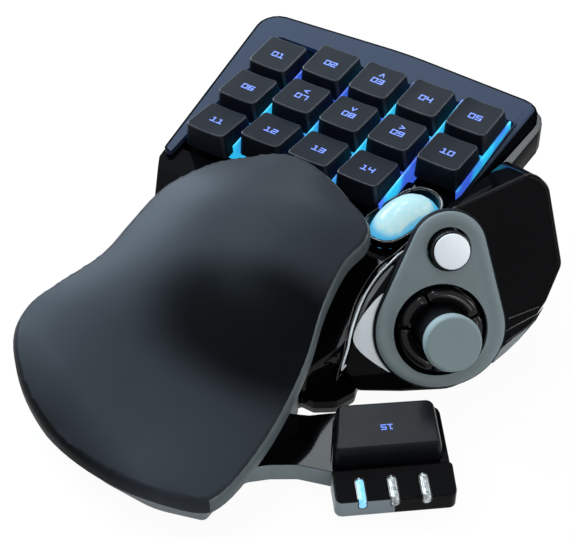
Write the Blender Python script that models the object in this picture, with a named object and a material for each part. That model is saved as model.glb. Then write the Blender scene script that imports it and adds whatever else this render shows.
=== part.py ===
"""Left-hand gaming keypad with a lit key bank, a thumb stick and a sliding palm rest.

Lengths are in millimetres until a mesh is finished, which scales it to metres.
X runs to the right, Y away from the user and Z up. The origin lies on the desk,
under the middle of the keypad.
"""

import math

import bmesh
import bpy
from mathutils import Matrix, Vector

MM = 0.001
GAP = 0.3

# Key bank: a tilted plane through the tops of the middle row of keys
KEY_PITCH = 19.0
BANK_TILT = 8.5
BANK_ORIGIN = (-18.0, 52.5, 50.0)
FIRST_COLUMN_DROP = 4.75
CAP_BASE = 17.6
CAP_TOP_WIDTH = 14.6
CAP_TOP_DEPTH = 15.4
CAP_WALL = 1.3
CAP_SKIRT = -8.5
KEY_TRAVEL = 3.5
ROW_LEAN = (-3.0, -7.0, -11.0)
STEM_SIZE = 6.0
STEM_HEAD = -0.7
STEM_CLEARANCE = 0.3

# Layers of the key bank, as heights from the tops of the keys
BEZEL_LAYER = (-9.5, -7.5)
ROOF_DROP = 9.8
DIFFUSER_LAYER = (-14.6, -13.4)
GUIDE_LAYER = (-16.8, -14.9)
DOME_LAYER = (-22.4, -21.6)
DOME_TOP = -20.9
BOARD_LAYER = (-24.3, -22.7)
STEM_FOOT = DOME_TOP + 0.4 + KEY_TRAVEL

# Body: plan outline as corners, each x, y and corner radius
BODY_CORNERS = (
    (-70.0, 14.0, 3.0), (-67.6, 10.0, 0.0), (-58.0, -6.0, 8.0), (-48.0, -32.0, 2.0), (19.0, -32.0, 2.0),
    (25.0, -20.0, 3.0), (25.5, -6.0, 6.0), (30.0, 10.0, 0.0), (34.0, 24.0, 8.0), (36.0, 50.0, 8.0),
    (38.0, 93.7, 8.5), (-20.0, 96.2, 200.0), (-78.5, 92.4, 8.5),
)
BODY_WALL = 2.4
BODY_FOLD_Y = 10.0
FRONT_SLOPE = 0.354
BAND_HEIGHT = 9.5
BAND_TAPER = 9.5
LOWER_INSET = 4.5
SHELL_BASE = 3.6
CABLE_SPOT = (-20.0, 90.0, 14.0)

# Flange at the foot of the body, under the thumb housing
FLANGE_LAYER = (3.6, 6.4)
FLANGE_CORNERS = (
    (4.0, -31.6, 1.0), (22.6, -31.6, 2.0), (28.2, -27.4, 3.0), (30.8, -20.5, 3.0), (29.0, -13.0, 4.0),
    (22.0, -4.0, 2.0), (4.0, -4.0, 1.0),
)

# Plates on the desk side
COVER_LAYER = (1.3, 3.3)
COVER_CORNERS = (
    (-66.0, 17.0, 3.0), (-54.0, -6.0, 8.0), (-45.0, -30.0, 6.0), (-54.0, -50.0, 8.0),
    (-56.0, -62.0, 8.0), (-47.0, -74.5, 14.0), (-30.0, -84.0, 18.0), (-10.0, -86.8, 18.0),
    (15.0, -82.0, 4.0), (16.0, -60.0, 4.0), (16.0, -35.0, 2.0), (18.0, -31.4, 1.0), (22.4, -31.4, 2.0),
    (28.0, -27.4, 3.0), (30.6, -20.5, 3.0), (28.0, -13.0, 4.0), (19.6, -6.0, 6.0), (26.0, 24.0, 8.0),
    (30.0, 50.0, 8.0), (33.0, 90.5, 8.0), (-73.0, 87.0, 8.0),
)
FOOT_RADIUS = 5.0
FEET = ((-60.0, 76.0), (22.0, 78.0), (-40.0, -68.0), (6.0, -76.0))
SCREW_RADIUS = 2.6
SCREWS = ((-40.0, 80.0), (8.0, 80.0), (-40.0, -20.0), (10.0, 10.0), (-20.0, -80.0), (-6.0, -50.0))

# Scroll wheel, placed in the key bank's plane
WHEEL_SPOT = (36.6, -26.5)
WHEEL_TURN = -20.0
WHEEL_RADIUS = 14.0
WHEEL_WIDTH = 12.0
WHEEL_TOP = -1.5
RIM_LENGTH = 29.0
RIM_WIDTH = 16.0
RIM_WALL = 1.1
RIM_LAYER = (-9.6, -6.5)
AXLE_RADIUS = 1.5
TYRE_CROWN = ((6.0, 3.2), (4.5, 1.4), (2.5, 0.4), (0.0, 0.0))

# Thumb plate: centre of the stick's hole, and the way that the plate faces
THUMB_CENTRE = (47.4, 2.9, 22.6)
THUMB_AZIMUTH = 42.0
THUMB_ELEVATION = 30.0
PLATE_RADIUS = 21.3
PLATE_TIP = (4.0, 25.6)
PLATE_TIP_RADIUS = 12.6
PLATE_THICKNESS = 2.4
PLATE_FLATTENED = 0.885
STICK_HOLE = 15.0
BUTTON_HOLE = 7.0
THUMB_BOARD = (11.4, PLATE_TIP, 6.3)
THUMB_BOARD_LAYER = (-16.6, -15.0)
BRACKET_LAYER = (-14.7, -13.1)
HOUSING_FACE = -2.7
HOUSING_DEPTH = 37.0
HOUSING_WALL = 2.2
HOUSING_CORNERS = (
    (-27.0, -17.4, 2.5), (-13.0, -19.2, 20.0), (3.5, -20.2, 14.0), (16.0, -13.6, 20.0), (26.0, -6.2, 20.0),
    (35.0, 5.0, 8.0), (40.6, 16.5, 5.0), (37.4, 42.0, 6.0), (32.5, 47.0, 5.0),
    (6.5, 38.0, 8.0), (-11.7, 23.6, 24.0), (-24.8, 8.8, 30.0), (-32.0, -9.0, 8.0),
)

# Thumb stick on its eight-way ring
PIVOT_DEPTH = -9.0
RING_OUTER = 13.6
RING_INNER = 9.9
RING_TOP = 1.2
RING_SEAT = -5.6
RING_SKIRT = 15.5
RING_CROWN = 2.2
HUB_RADIUS = 3.9
GIMBAL = (5.9, 7.6, 1.6)
PIN_RADIUS = 1.0
PIN_BORE = 1.15
LUG = (1.6, 6.0)
LUG_REACH = 9.6
STICK_RADIUS = 9.0
STICK_TOP = 17.0
BUTTON_RADIUS = 6.3
BUTTON_TOP = 3.2

# Paddle: the thumb key and the status lights, turned about the upright
PADDLE_ORIGIN = (51.35, -62.1, 0.0)
PADDLE_TURN = 39.5
LIGHT_BLOCK = (-1.5, 34.6, 0.0, 11.6)
LIGHT_BLOCK_HEIGHTS = (7.6, 9.0)
LENS_SPOTS = (6.5, 16.1, 25.5)
LENS_WIDTH = 2.4
LENS_LENGTH = 8.0
SPACE_KEY_CORNERS = ((-0.8, 13.6, 2.2), (32.4, 13.6, 2.2), (33.1, 32.8, 3.0), (2.6, 33.2, 2.2))
SPACE_KEY_TOP = 14.6
SPACE_KEY_TRAVEL = 2.0
SPACE_KEY_STEM = (15.5, 22.0)
ARM_TOP = 8.0
ARM_TRAY = 4.4
ARM_WALL = 1.6

# Palm rest: plan outline, and heights read along its length
PALM_POINTS = (
    (-19.0, 24.2), (-31.0, 21.4), (-42.6, 13.1), (-50.6, 1.0), (-54.2, -9.0), (-55.8, -22.0),
    (-57.6, -33.5), (-65.0, -46.4), (-69.8, -57.5), (-66.0, -69.5), (-50.0, -83.0), (-28.0, -92.6),
    (-4.0, -94.8), (18.0, -89.5),
    (24.6, -82.0), (26.0, -60.0), (24.0, -38.0), (19.0, -20.0), (17.0, -5.0), (18.2, 5.5),
    (13.6, 13.0), (-1.0, 20.0),
)
PALM_RIDGE = (
    (-96, 14.5), (-80, 18.5), (-60, 25.5), (-45, 33.0), (-30, 40.5), (-10, 46.6), (6, 49.2), (26, 49.6),
)
PALM_DROP = ((-96, 1.5), (-80, 3.5), (-60, 5.5), (-30, 7.5), (0, 5.5), (26, 3.0))
PALM_THICKNESS = 4.0
PALM_THINNEST = 1.6
PALM_LIP = 2.0
PALM_LIP_DROP = 1.1
SLIDE_ANGLE = 16.2
SLIDE_TRAVEL = 12.0
SLIDE_SPACE = 3.0
CARRIER_WIDTH = 46.0
CARRIER_LENGTH = 34.0
CARRIER_MIDDLE = 40.0
TAIL_CORNERS = (
    (-47.0, -33.0, 2.0), (-55.0, -48.0, 8.0), (-59.5, -62.0, 10.0), (-50.0, -77.6, 14.0),
    (-30.5, -87.7, 26.0), (-14.0, -90.0, 30.0), (4.0, -90.0, 30.0), (19.3, -85.2, 2.2), (18.8, -60.0, 8.0),
    (18.6, -33.0, 2.0),
)
TAIL_ROOF = (8.2, -88.0)
TAIL_WALL = 2.2

FINISHES = {
    "gloss_black": ((0.012, 0.013, 0.016), 0.08, 0.0),
    "bezel_grey": ((0.065, 0.085, 0.12), 0.45, 0.0),
    "keycap_black": ((0.022, 0.024, 0.03), 0.42, 0.0),
    "soft_touch": ((0.055, 0.065, 0.078), 0.6, 0.0),
    "thumb_rubber": ((0.14, 0.165, 0.175), 0.62, 0.0),
    "stick_rubber": ((0.15, 0.185, 0.19), 0.7, 0.0),
    "silver_button": ((0.75, 0.79, 0.82), 0.25, 0.6),
    "wheel_tyre": ((0.55, 0.85, 0.95), 0.35, 0.0),
    "blue_light": ((0.2, 0.65, 0.95), 0.35, 0.0),
    "clear_lens": ((0.7, 0.75, 0.75), 0.15, 0.0),
    "well_glow": ((0.05, 0.35, 0.6), 0.4, 0.0),
    "board_green": ((0.03, 0.12, 0.06), 0.5, 0.0),
    "dome_silicone": ((0.75, 0.76, 0.74), 0.6, 0.0),
    "inner_black": ((0.03, 0.03, 0.032), 0.55, 0.0),
    "steel": ((0.55, 0.56, 0.58), 0.3, 1.0),
    "rubber_black": ((0.02, 0.02, 0.02), 0.8, 0.0),
}


def clear_scene():
    for old in list(bpy.data.objects):
        bpy.data.objects.remove(old, do_unlink=True)


def finish(name):
    made = bpy.data.materials.get(name)
    if made:
        return made
    colour, roughness, metallic = FINISHES[name]
    made = bpy.data.materials.new(name)
    made.use_nodes = True
    shader = made.node_tree.nodes["Principled BSDF"]
    shader.inputs["Base Color"].default_value = (*colour, 1.0)
    shader.inputs["Roughness"].default_value = roughness
    shader.inputs["Metallic"].default_value = metallic
    return made


def rotation(degrees, axis):
    return Matrix.Rotation(math.radians(degrees), 4, axis)


def bank_frame():
    return Matrix.Translation(BANK_ORIGIN) @ rotation(BANK_TILT, "X")


def thumb_frame():
    turned_plate = rotation(THUMB_AZIMUTH, "Z") @ rotation(90.0 - THUMB_ELEVATION, "X")
    return Matrix.Translation(THUMB_CENTRE) @ turned_plate


def wheel_frame():
    spot = Matrix.Translation((*WHEEL_SPOT, WHEEL_TOP - WHEEL_RADIUS))
    return bank_frame() @ spot @ rotation(WHEEL_TURN, "Z")


def paddle_frame():
    return Matrix.Translation(PADDLE_ORIGIN) @ rotation(PADDLE_TURN, "Z")


def cable_frame():
    return Matrix.Translation(CABLE_SPOT) @ rotation(90.0, "X")


WORLD = Matrix.Identity(4)


# Meshes

def rounded(corners, steps=4):
    """Closed outline whose corners, each x, y and radius, become arcs. Radius 0 stays sharp."""
    outline = []
    for index, (x, y, radius) in enumerate(corners):
        here = Vector((x, y))
        if radius == 0.0:
            outline.append(here)
            continue
        back = (Vector(corners[index - 1][:2]) - here).normalized()
        ahead = (Vector(corners[(index + 1) % len(corners)][:2]) - here).normalized()
        half = back.angle(ahead) / 2
        centre = here + (back + ahead).normalized() * radius / math.sin(half)
        start = here + back * radius / math.tan(half) - centre
        end = here + ahead * radius / math.tan(half) - centre
        first = math.atan2(start.y, start.x)
        sweep = math.remainder(math.atan2(end.y, end.x) - first, math.tau)
        for step in range(steps + 1):
            angle = first + sweep * step / steps
            outline.append(centre + radius * Vector((math.cos(angle), math.sin(angle))))
    return outline


def flowing(points, steps=3):
    """Closed smooth curve through the points, by the Catmull-Rom rule."""
    knots = [Vector(point) for point in points]
    count = len(knots)
    outline = []
    for index in range(count):
        a, b, c, d = (knots[(index + shift) % count] for shift in (-1, 0, 1, 2))
        for step in range(steps):
            t = step / steps
            bend = (2 * a - 5 * b + 4 * c - d) * t * t + (3 * b - a - 3 * c + d) * t ** 3
            outline.append(b + 0.5 * ((c - a) * t + bend))
    return outline


def circle(radius, centre=(0.0, 0.0), steps=32):
    turns = [math.tau * step / steps for step in range(steps)]
    return [Vector((centre[0] + radius * math.cos(t), centre[1] + radius * math.sin(t))) for t in turns]


def box_outline(width, depth, radius, centre=(0.0, 0.0), steps=2):
    x, y = centre
    sides = ((-1, -1), (1, -1), (1, 1), (-1, 1))
    corners = [(x + across * width / 2, y + along_y * depth / 2, radius) for across, along_y in sides]
    return rounded(corners, steps)


def stadium(length, width, steps=8):
    """Slot outline with round ends, long along Y."""
    radius = width / 2
    reach = length / 2 - radius
    upper = [math.pi * step / steps for step in range(steps + 1)]
    lower = [math.pi + angle for angle in upper]
    top = [Vector((radius * math.cos(t), reach + radius * math.sin(t))) for t in upper]
    bottom = [Vector((radius * math.cos(t), -reach + radius * math.sin(t))) for t in lower]
    return top + bottom


def teardrop(radius, tip, tip_radius, steps=18):
    """Outline round a large circle at the centre and a small one at the tip."""
    axis = math.atan2(tip[1], tip[0])
    lean = math.acos((radius - tip_radius) / math.hypot(*tip))
    outline = []
    for step in range(steps + 1):
        angle = axis + lean + (math.tau - 2 * lean) * step / steps
        outline.append(radius * Vector((math.cos(angle), math.sin(angle))))
    for step in range(steps + 1):
        angle = axis - lean + 2 * lean * step / steps
        outline.append(Vector(tip) + tip_radius * Vector((math.cos(angle), math.sin(angle))))
    return outline


def inset(outline, distance):
    """Anticlockwise outline moved inwards by a distance, or outwards if negative."""
    moved = []
    count = len(outline)
    for index, point in enumerate(outline):
        before = (point - outline[index - 1]).normalized()
        after = (outline[(index + 1) % count] - point).normalized()
        first = Vector((-before.y, before.x))
        second = Vector((-after.y, after.x))
        moved.append(point + distance * (first + second) / (1.0 + first.dot(second)))
    return moved


def shrunk(corners, distance):
    """Corners of an outline moved inwards by a distance, with their radii to suit."""
    points = [Vector(corner[:2]) for corner in corners]
    inner = inset(points, distance)
    result = []
    for index, (point, (_, _, radius)) in enumerate(zip(inner, corners)):
        ahead = points[(index + 1) % len(points)] - points[index]
        hollow = (points[index] - points[index - 1]).cross(ahead) < 0.0
        fitted = radius + distance if hollow else max(radius - distance, 0.5)
        result.append((point.x, point.y, fitted if radius > 0.0 else 0.0))
    return result


def at_height(outline, height):
    """Outline lifted to one height, or to a height worked out from x and y."""
    rule = height if callable(height) else lambda x, y: height
    return [Vector((point.x, point.y, rule(point.x, point.y))) for point in outline]


def loft(*rings):
    """Closed solid through rings that have the same number of points."""
    mesh = bmesh.new()
    base = mesh.faces.new([mesh.verts.new(point) for point in rings[0]])
    face = base
    for ring in rings[1:]:
        made = bmesh.ops.extrude_face_region(mesh, geom=[face])["geom"]
        if face is not base:
            mesh.faces.remove(face)
        face = next(item for item in made if isinstance(item, bmesh.types.BMFace))
        for vert, point in zip(face.verts, ring):
            vert.co = point
    bmesh.ops.recalc_face_normals(mesh, faces=mesh.faces)
    return mesh


def prism(outline, layer):
    return loft(at_height(outline, layer[0]), at_height(outline, layer[1]))


def turned(profile, steps=32):
    """Solid turned about Z from points that are each a radius and a height."""
    mesh = bmesh.new()
    verts = [mesh.verts.new((radius, 0.0, height)) for radius, height in profile]
    edges = [mesh.edges.new(pair) for pair in zip(verts, verts[1:])]
    if profile[0][0] > 0.0:
        edges.append(mesh.edges.new((verts[-1], verts[0])))
    bmesh.ops.spin(mesh, geom=verts + edges, angle=math.tau, steps=steps, axis=(0, 0, 1), cent=(0, 0, 0),
                   use_merge=True)
    bmesh.ops.remove_doubles(mesh, verts=mesh.verts, dist=0.001)
    bmesh.ops.recalc_face_normals(mesh, faces=mesh.faces)
    return mesh


def moved(mesh, matrix):
    bmesh.ops.transform(mesh, matrix=matrix, verts=mesh.verts)
    return mesh


def trimmed(mesh, point, normal):
    """Solid cut by a plane, with the side that the normal points to taken away."""
    everything = mesh.verts[:] + mesh.edges[:] + mesh.faces[:]
    bmesh.ops.bisect_plane(mesh, geom=everything, plane_co=point, plane_no=normal, clear_outer=True)
    bmesh.ops.holes_fill(mesh, edges=[edge for edge in mesh.edges if edge.is_boundary])
    bmesh.ops.recalc_face_normals(mesh, faces=mesh.faces)
    return mesh


def gathered(meshes):
    """Several separate solids in one mesh."""
    whole = bmesh.new()
    for mesh in meshes:
        data = bpy.data.meshes.new("part")
        mesh.to_mesh(data)
        mesh.free()
        whole.from_mesh(data)
        bpy.data.meshes.remove(data)
    return whole


# Objects

def in_metres(frame):
    placed = frame.copy()
    placed.translation = frame.translation * MM
    return placed


def place(name, mesh, frame=WORLD):
    bmesh.ops.scale(mesh, vec=(MM, MM, MM), verts=mesh.verts)
    data = bpy.data.meshes.new(name)
    mesh.to_mesh(data)
    mesh.free()
    piece = bpy.data.objects.new(name, data)
    bpy.context.scene.collection.objects.link(piece)
    piece.matrix_world = in_metres(frame)
    return piece


def piece(name, mesh, surface, frame=WORLD, smooth=35.0):
    made = place(name, mesh, frame)
    made.data.materials.append(finish(surface))
    made.data.shade_smooth()
    made.data.set_sharp_from_angle(angle=math.radians(smooth))
    return made


def cutter(name, mesh, frame=WORLD):
    tool = place(name + "_cutter", mesh, frame)
    tool.display_type = "WIRE"
    tool.hide_render = True
    return tool


def shape_with(target, tool, operation="DIFFERENCE"):
    step = target.modifiers.new(tool.name, "BOOLEAN")
    step.operation = operation
    step.solver = "EXACT"
    step.object = tool


def cut(target, name, mesh, frame=WORLD):
    shape_with(target, cutter(name, mesh, frame))


def soften(target, width, segments=2, angle=40.0):
    step = target.modifiers.new("edges", "BEVEL")
    step.width = width * MM
    step.segments = segments
    step.limit_method = "ANGLE"
    step.angle_limit = math.radians(angle)


# Key bank

def key_spots():
    """Number of each key with its place in the key bank's plane and its row."""
    spots = []
    for number in range(1, 15):
        row, column = divmod(number - 1, 5)
        drop = FIRST_COLUMN_DROP if column == 0 else 0.0
        spots.append((number, (column - 2) * KEY_PITCH, (1 - row) * KEY_PITCH - drop, row))
    return spots


def key_shifts():
    return [Matrix.Translation((u, v, 0.0)) for _, u, v, _ in key_spots()]


def cap_mesh(row):
    slope = math.tan(math.radians(ROW_LEAN[row]))
    base = box_outline(CAP_BASE, CAP_BASE, 1.5)
    top = box_outline(CAP_TOP_WIDTH, CAP_TOP_DEPTH, 2.0)
    return loft(at_height(base, CAP_SKIRT), at_height(top, lambda x, y: slope * y))


def cap_hollow(row):
    slope = math.tan(math.radians(ROW_LEAN[row]))
    reach = 1.0
    base = box_outline(CAP_BASE - 2 * CAP_WALL + 0.3, CAP_BASE - 2 * CAP_WALL + 0.3, 1.0)
    top = box_outline(CAP_TOP_WIDTH - 2 * CAP_WALL, CAP_TOP_DEPTH - 2 * CAP_WALL, 1.2)
    return loft(at_height(base, CAP_SKIRT - reach), at_height(top, lambda x, y: slope * y - CAP_WALL))


def make_keys():
    stem = box_outline(STEM_SIZE, STEM_SIZE, 0.6, steps=1)
    for number, u, v, row in key_spots():
        name = f"key_{number:02d}"
        frame = bank_frame() @ Matrix.Translation((u, v, 0.0))
        cap = piece(name, cap_mesh(row), "keycap_black", frame)
        soften(cap, 0.45, 1, 30.0)
        cut(cap, name + "_hollow", cap_hollow(row), frame)
        post = cutter(name + "_stem", prism(stem, (STEM_FOOT, STEM_HEAD)), frame)
        shape_with(cap, post, "UNION")


def bank_plate_outline():
    return rounded((
        (-47.4, -33.0, 1.0), (-28.0, -33.0, 1.0), (-28.0, -28.4, 1.0), (28.4, -28.4, 1.0),
        (28.4, -9.6, 1.0), (47.2, -9.6, 1.0), (47.2, 28.4, 1.0), (-47.4, 28.4, 1.0),
    ), 2)


def wheel_spot():
    return Matrix.Translation((*WHEEL_SPOT, 0.0)) @ rotation(WHEEL_TURN, "Z")


def make_bank_plates():
    frame = bank_frame()
    outline = bank_plate_outline()
    layers = (
        ("light_diffuser", "well_glow", DIFFUSER_LAYER),
        ("key_guide_plate", "inner_black", GUIDE_LAYER),
        ("dome_sheet", "dome_silicone", DOME_LAYER),
        ("key_circuit_board", "board_green", BOARD_LAYER),
    )
    opening = box_outline(STEM_SIZE + 2 * STEM_CLEARANCE, STEM_SIZE + 2 * STEM_CLEARANCE, 0.5, steps=1)
    for name, surface, layer in layers:
        through = (layer[0] - 2.0, layer[1] + 2.0)
        plate = piece(name, prism(outline, layer), surface, frame)
        pocket = prism(box_outline(WHEEL_WIDTH + 4.4, 2 * WHEEL_RADIUS + 2.2, 1.0), through)
        cut(plate, name + "_pocket", pocket, frame @ wheel_spot())
        if name in ("light_diffuser", "key_guide_plate"):
            holes = [moved(prism(opening, through), spot) for spot in key_shifts()]
            cut(plate, name + "_holes", gathered(holes), frame)
        if name == "dome_sheet":
            low = (layer[0] + layer[1]) / 2
            profile = ((0.0, DOME_TOP), (2.6, DOME_TOP), (3.6, low), (0.0, low))
            domes = [moved(turned(profile, 10), spot) for spot in key_shifts()]
            shape_with(plate, cutter(name + "_bumps", gathered(domes), frame), "UNION")


def well_outline():
    return rounded((
        (-48.0, -33.6, 1.2), (-28.2, -33.6, 1.2), (-28.2, -29.0, 1.2), (28.7, -29.0, 1.2),
        (28.7, -10.0, 1.2), (47.9, -10.0, 1.2), (47.9, 28.9, 1.2), (-48.0, 28.9, 1.2),
    ), 2)


def make_bezel():
    """Plate round three sides of the keys; its right arm tapers away beside the wheel."""
    frame = bank_frame()
    outer = rounded((
        (-51.4, -38.6, 2.0), (-48.3, -38.6, 1.0), (-48.3, 29.3, 1.5), (48.2, 29.3, 1.5),
        (48.2, -10.5, 0.8), (49.2, -10.5, 0.8), (54.2, 40.6, 8.0), (-2.0, 42.8, 200.0), (-60.0, 39.2, 8.0),
    ), 5)
    bezel = piece("key_bezel", prism(outer, BEZEL_LAYER), "bezel_grey", frame)
    soften(bezel, 0.35, 1)


# Body

def bank_height(y, drop):
    """Height of the plane that lies a distance below the tops of the keys."""
    tilt = math.radians(BANK_TILT)
    return BANK_ORIGIN[2] + (y - BANK_ORIGIN[1]) * math.tan(tilt) - drop / math.cos(tilt)


def roof_height(y, drop=ROOF_DROP):
    fold = bank_height(BODY_FOLD_Y, drop)
    return bank_height(y, drop) if y >= BODY_FOLD_Y else fold + FRONT_SLOPE * (y - BODY_FOLD_Y)


def body_mesh(shrink, lift, floor):
    """Body block: tapered lower walls, an upright band, and a folded roof."""
    outline = rounded(shrunk(BODY_CORNERS, shrink))
    low = rounded(shrunk(BODY_CORNERS, shrink + LOWER_INSET))

    def band(x, y):
        return roof_height(y) - BAND_HEIGHT

    def taper(x, y):
        return max(roof_height(y) - BAND_HEIGHT - BAND_TAPER, floor + 2.0)

    def roof(x, y):
        return roof_height(y) + lift

    lower = (at_height(low, floor), at_height(low, taper))
    upper = (at_height(outline, band), at_height(outline, roof))
    mesh = loft(*lower, *upper)
    cap = max(mesh.faces, key=lambda face: (len(face.verts) > 4, face.calc_center_median().z))
    ends = []
    for side in (-1, 1):
        near = [vert for vert in cap.verts if vert.co.x * side > 0.0]
        ends.append(min(near, key=lambda vert: abs(vert.co.y - BODY_FOLD_Y)))
    bmesh.utils.face_split(cap, *ends)
    return mesh


def make_body():
    shell = piece("body_shell", body_mesh(0.0, 0.0, SHELL_BASE), "gloss_black")
    shape_with(shell, cutter("flange", prism(rounded(FLANGE_CORNERS, 3), FLANGE_LAYER)), "UNION")
    cut(shell, "body_hollow", body_mesh(BODY_WALL, -BODY_WALL, SHELL_BASE - 6.0))
    frame = bank_frame()
    cut(shell, "well", prism(well_outline(), (-30.0, 5.0)), frame)
    slot = stadium(RIM_LENGTH - 0.6, RIM_WIDTH - 1.4, 6)
    cut(shell, "wheel_hole", prism(slot, (-16.0, 5.0)), frame @ wheel_spot())
    opening = inset(teardrop(*THUMB_BOARD), -0.8)
    cut(shell, "thumb_window", prism(opening, (THUMB_BOARD_LAYER[0] - 1.0, -5.5)), thumb_frame())
    cut(shell, "cable_hole", prism(circle(4.2, steps=20), (-12.0, 12.0)), cable_frame())


def make_base():
    cover = piece("bottom_cover", prism(rounded(COVER_CORNERS, 3), COVER_LAYER), "inner_black")
    heads = [prism(circle(SCREW_RADIUS + GAP, spot, 16), (0.0, 5.0)) for spot in SCREWS]
    cut(cover, "screw_holes", gathered(heads))
    profile = ((0.0, 0.0), (FOOT_RADIUS - 0.3, 0.0), (FOOT_RADIUS, 0.3), (FOOT_RADIUS, 1.0), (0.0, 1.0))
    for number, spot in enumerate(FEET, start=1):
        piece(f"rubber_foot_{number}", turned(profile, 24), "rubber_black", Matrix.Translation((*spot, 0.0)))
    profile = ((0.0, 1.6), (SCREW_RADIUS, 1.6), (SCREW_RADIUS, 2.6), (1.1, 3.2), (1.1, 8.0), (0.0, 8.0))
    for number, spot in enumerate(SCREWS, start=1):
        piece(f"case_screw_{number}", turned(profile, 16), "steel", Matrix.Translation((*spot, 0.0)))
    profile = ((1.8, -1.6), (3.0, -1.6), (3.9, -1.0), (3.9, 6.0), (1.8, 6.0))
    piece("cable_gland", turned(profile, 20), "rubber_black", cable_frame())


# Scroll wheel

def make_wheel():
    spot = bank_frame() @ wheel_spot()
    rim = piece("wheel_surround", prism(stadium(RIM_LENGTH, RIM_WIDTH), RIM_LAYER), "gloss_black", spot)
    soften(rim, 0.5, 2)
    hole = stadium(RIM_LENGTH - 2 * RIM_WALL, RIM_WIDTH - 2 * RIM_WALL)
    cut(rim, "wheel_opening", prism(hole, (RIM_LAYER[0] - 1, RIM_LAYER[1] + 1)), spot)

    frame = wheel_frame()
    across = rotation(90.0, "Y")
    half = WHEEL_WIDTH / 2
    right = [(WHEEL_RADIUS - drop, reach) for reach, drop in TYRE_CROWN]
    left = [(radius, -reach) for radius, reach in reversed(right[:-1])]
    dish = WHEEL_RADIUS - 5.0
    profile = [(AXLE_RADIUS + 0.05, half - 1.5), (dish - 0.6, half - 1.5), (dish, half)] + right
    profile += left + [(dish, -half), (dish - 0.6, -half + 1.5), (AXLE_RADIUS + 0.05, -half + 1.5)]
    piece("scroll_wheel", moved(turned(profile, 40), across), "wheel_tyre", frame)
    axle = prism(circle(AXLE_RADIUS, steps=16), (-half - 0.9, half + 0.9))
    piece("wheel_axle", moved(axle, across), "steel", frame)

    inside = half + 0.5
    outside = inside + 0.9
    foot = -WHEEL_RADIUS - 2.0
    cheek = rounded(((-3.0, foot, 1.0), (3.0, foot, 1.0), (3.0, 2.6, 2.5), (-3.0, 2.6, 2.5)), 3)
    upright = rotation(90.0, "X")
    sideways = rotation(90.0, "Z") @ upright
    cheeks = [moved(prism(cheek, layer), sideways) for layer in ((-outside, -inside), (inside, outside))]
    cradle = piece("wheel_cradle", cheeks[0], "inner_black", frame)
    shape_with(cradle, cutter("right_cheek", cheeks[1], frame), "UNION")
    web = prism(box_outline(2 * outside, 6.0, 0.5, steps=1), (foot, foot + 1.4))
    shape_with(cradle, cutter("cradle_web", web, frame), "UNION")
    bore = moved(prism(circle(AXLE_RADIUS + 0.1, steps=16), (-9.0, 9.0)), across)
    cut(cradle, "cradle_bores", bore, frame)
    block = prism(box_outline(5.0, 7.0, 0.5, steps=1), (foot - 4.4, foot - 1.0))
    piece("wheel_click_switch", block, "inner_black", frame)


# Thumb module

def make_thumb_housing():
    frame = thumb_frame()
    outline = rounded(HOUSING_CORNERS, 4)
    back = HOUSING_FACE - HOUSING_DEPTH
    housing = piece("thumb_housing", prism(outline, (back, HOUSING_FACE)), "gloss_black", frame)
    soften(housing, 1.2, 2, 50.0)
    inner = rounded(shrunk(HOUSING_CORNERS, HOUSING_WALL), 4)
    hollow = moved(prism(inner, (back - 5.0, HOUSING_FACE - HOUSING_WALL)), frame)
    cut(housing, "thumb_hollow", trimmed(hollow, (0, 0, COVER_LAYER[0] + HOUSING_WALL), (0, 0, -1)))
    cut(housing, "body_side", body_mesh(-GAP, 60.0, -20.0))
    low = prism(box_outline(200.0, 200.0, 1.0, steps=1), (-60.0, COVER_LAYER[0]))
    cut(housing, "desk_side", low)
    foot = prism(inset(rounded(FLANGE_CORNERS, 3), -GAP), (-1.0, FLANGE_LAYER[1] + GAP))
    cut(housing, "flange_side", foot)
    reach = (HOUSING_FACE - 6.0, HOUSING_FACE + 4.0)
    bores = [prism(circle(STICK_HOLE), reach), prism(circle(BUTTON_HOLE, PLATE_TIP, 24), reach)]
    cut(housing, "thumb_bores", gathered(bores), frame)


def make_thumb_plate():
    frame = thumb_frame()
    outline = teardrop(PLATE_RADIUS, PLATE_TIP, PLATE_TIP_RADIUS)
    outline = [Vector((point.x, point.y * (PLATE_FLATTENED if point.y < 0.0 else 1.0))) for point in outline]
    plate = piece("thumb_plate", prism(outline, (-PLATE_THICKNESS, 0.0)), "thumb_rubber", frame)
    soften(plate, 0.9, 2, 50.0)
    reach = (-6.0, 4.0)
    bores = [prism(circle(STICK_HOLE, steps=40), reach), prism(circle(BUTTON_HOLE, PLATE_TIP, 24), reach)]
    cut(plate, "plate_bores", gathered(bores), frame)


def make_thumb_insides():
    frame = thumb_frame()
    board = prism(teardrop(*THUMB_BOARD), THUMB_BOARD_LAYER)
    piece("thumb_circuit_board", board, "board_green", frame)
    bracket = piece("stick_bracket", prism(circle(11.0), BRACKET_LAYER), "inner_black", frame)
    lug_spots = [(side * LUG_REACH, 0.0) for side in (-1, 1)]
    lug_sides = [box_outline(LUG[0], LUG[1], 0.4, centre=spot, steps=1) for spot in lug_spots]
    lugs = [prism(outline, (BRACKET_LAYER[1] - 0.4, PIVOT_DEPTH + 1.6)) for outline in lug_sides]
    shape_with(bracket, cutter("bracket_lugs", gathered(lugs), frame), "UNION")
    pivot = frame @ Matrix.Translation((0.0, 0.0, PIVOT_DEPTH))
    along = rotation(90.0, "Y")
    cut(bracket, "lug_bores", moved(prism(circle(PIN_BORE, steps=12), (-12.0, 12.0)), along), pivot)
    tower = prism(box_outline(6.0, 6.0, 0.5, centre=PLATE_TIP, steps=1), (THUMB_BOARD_LAYER[1] + GAP, -6.6))
    piece("thumb_button_switch", tower, "inner_black", frame)


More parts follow.
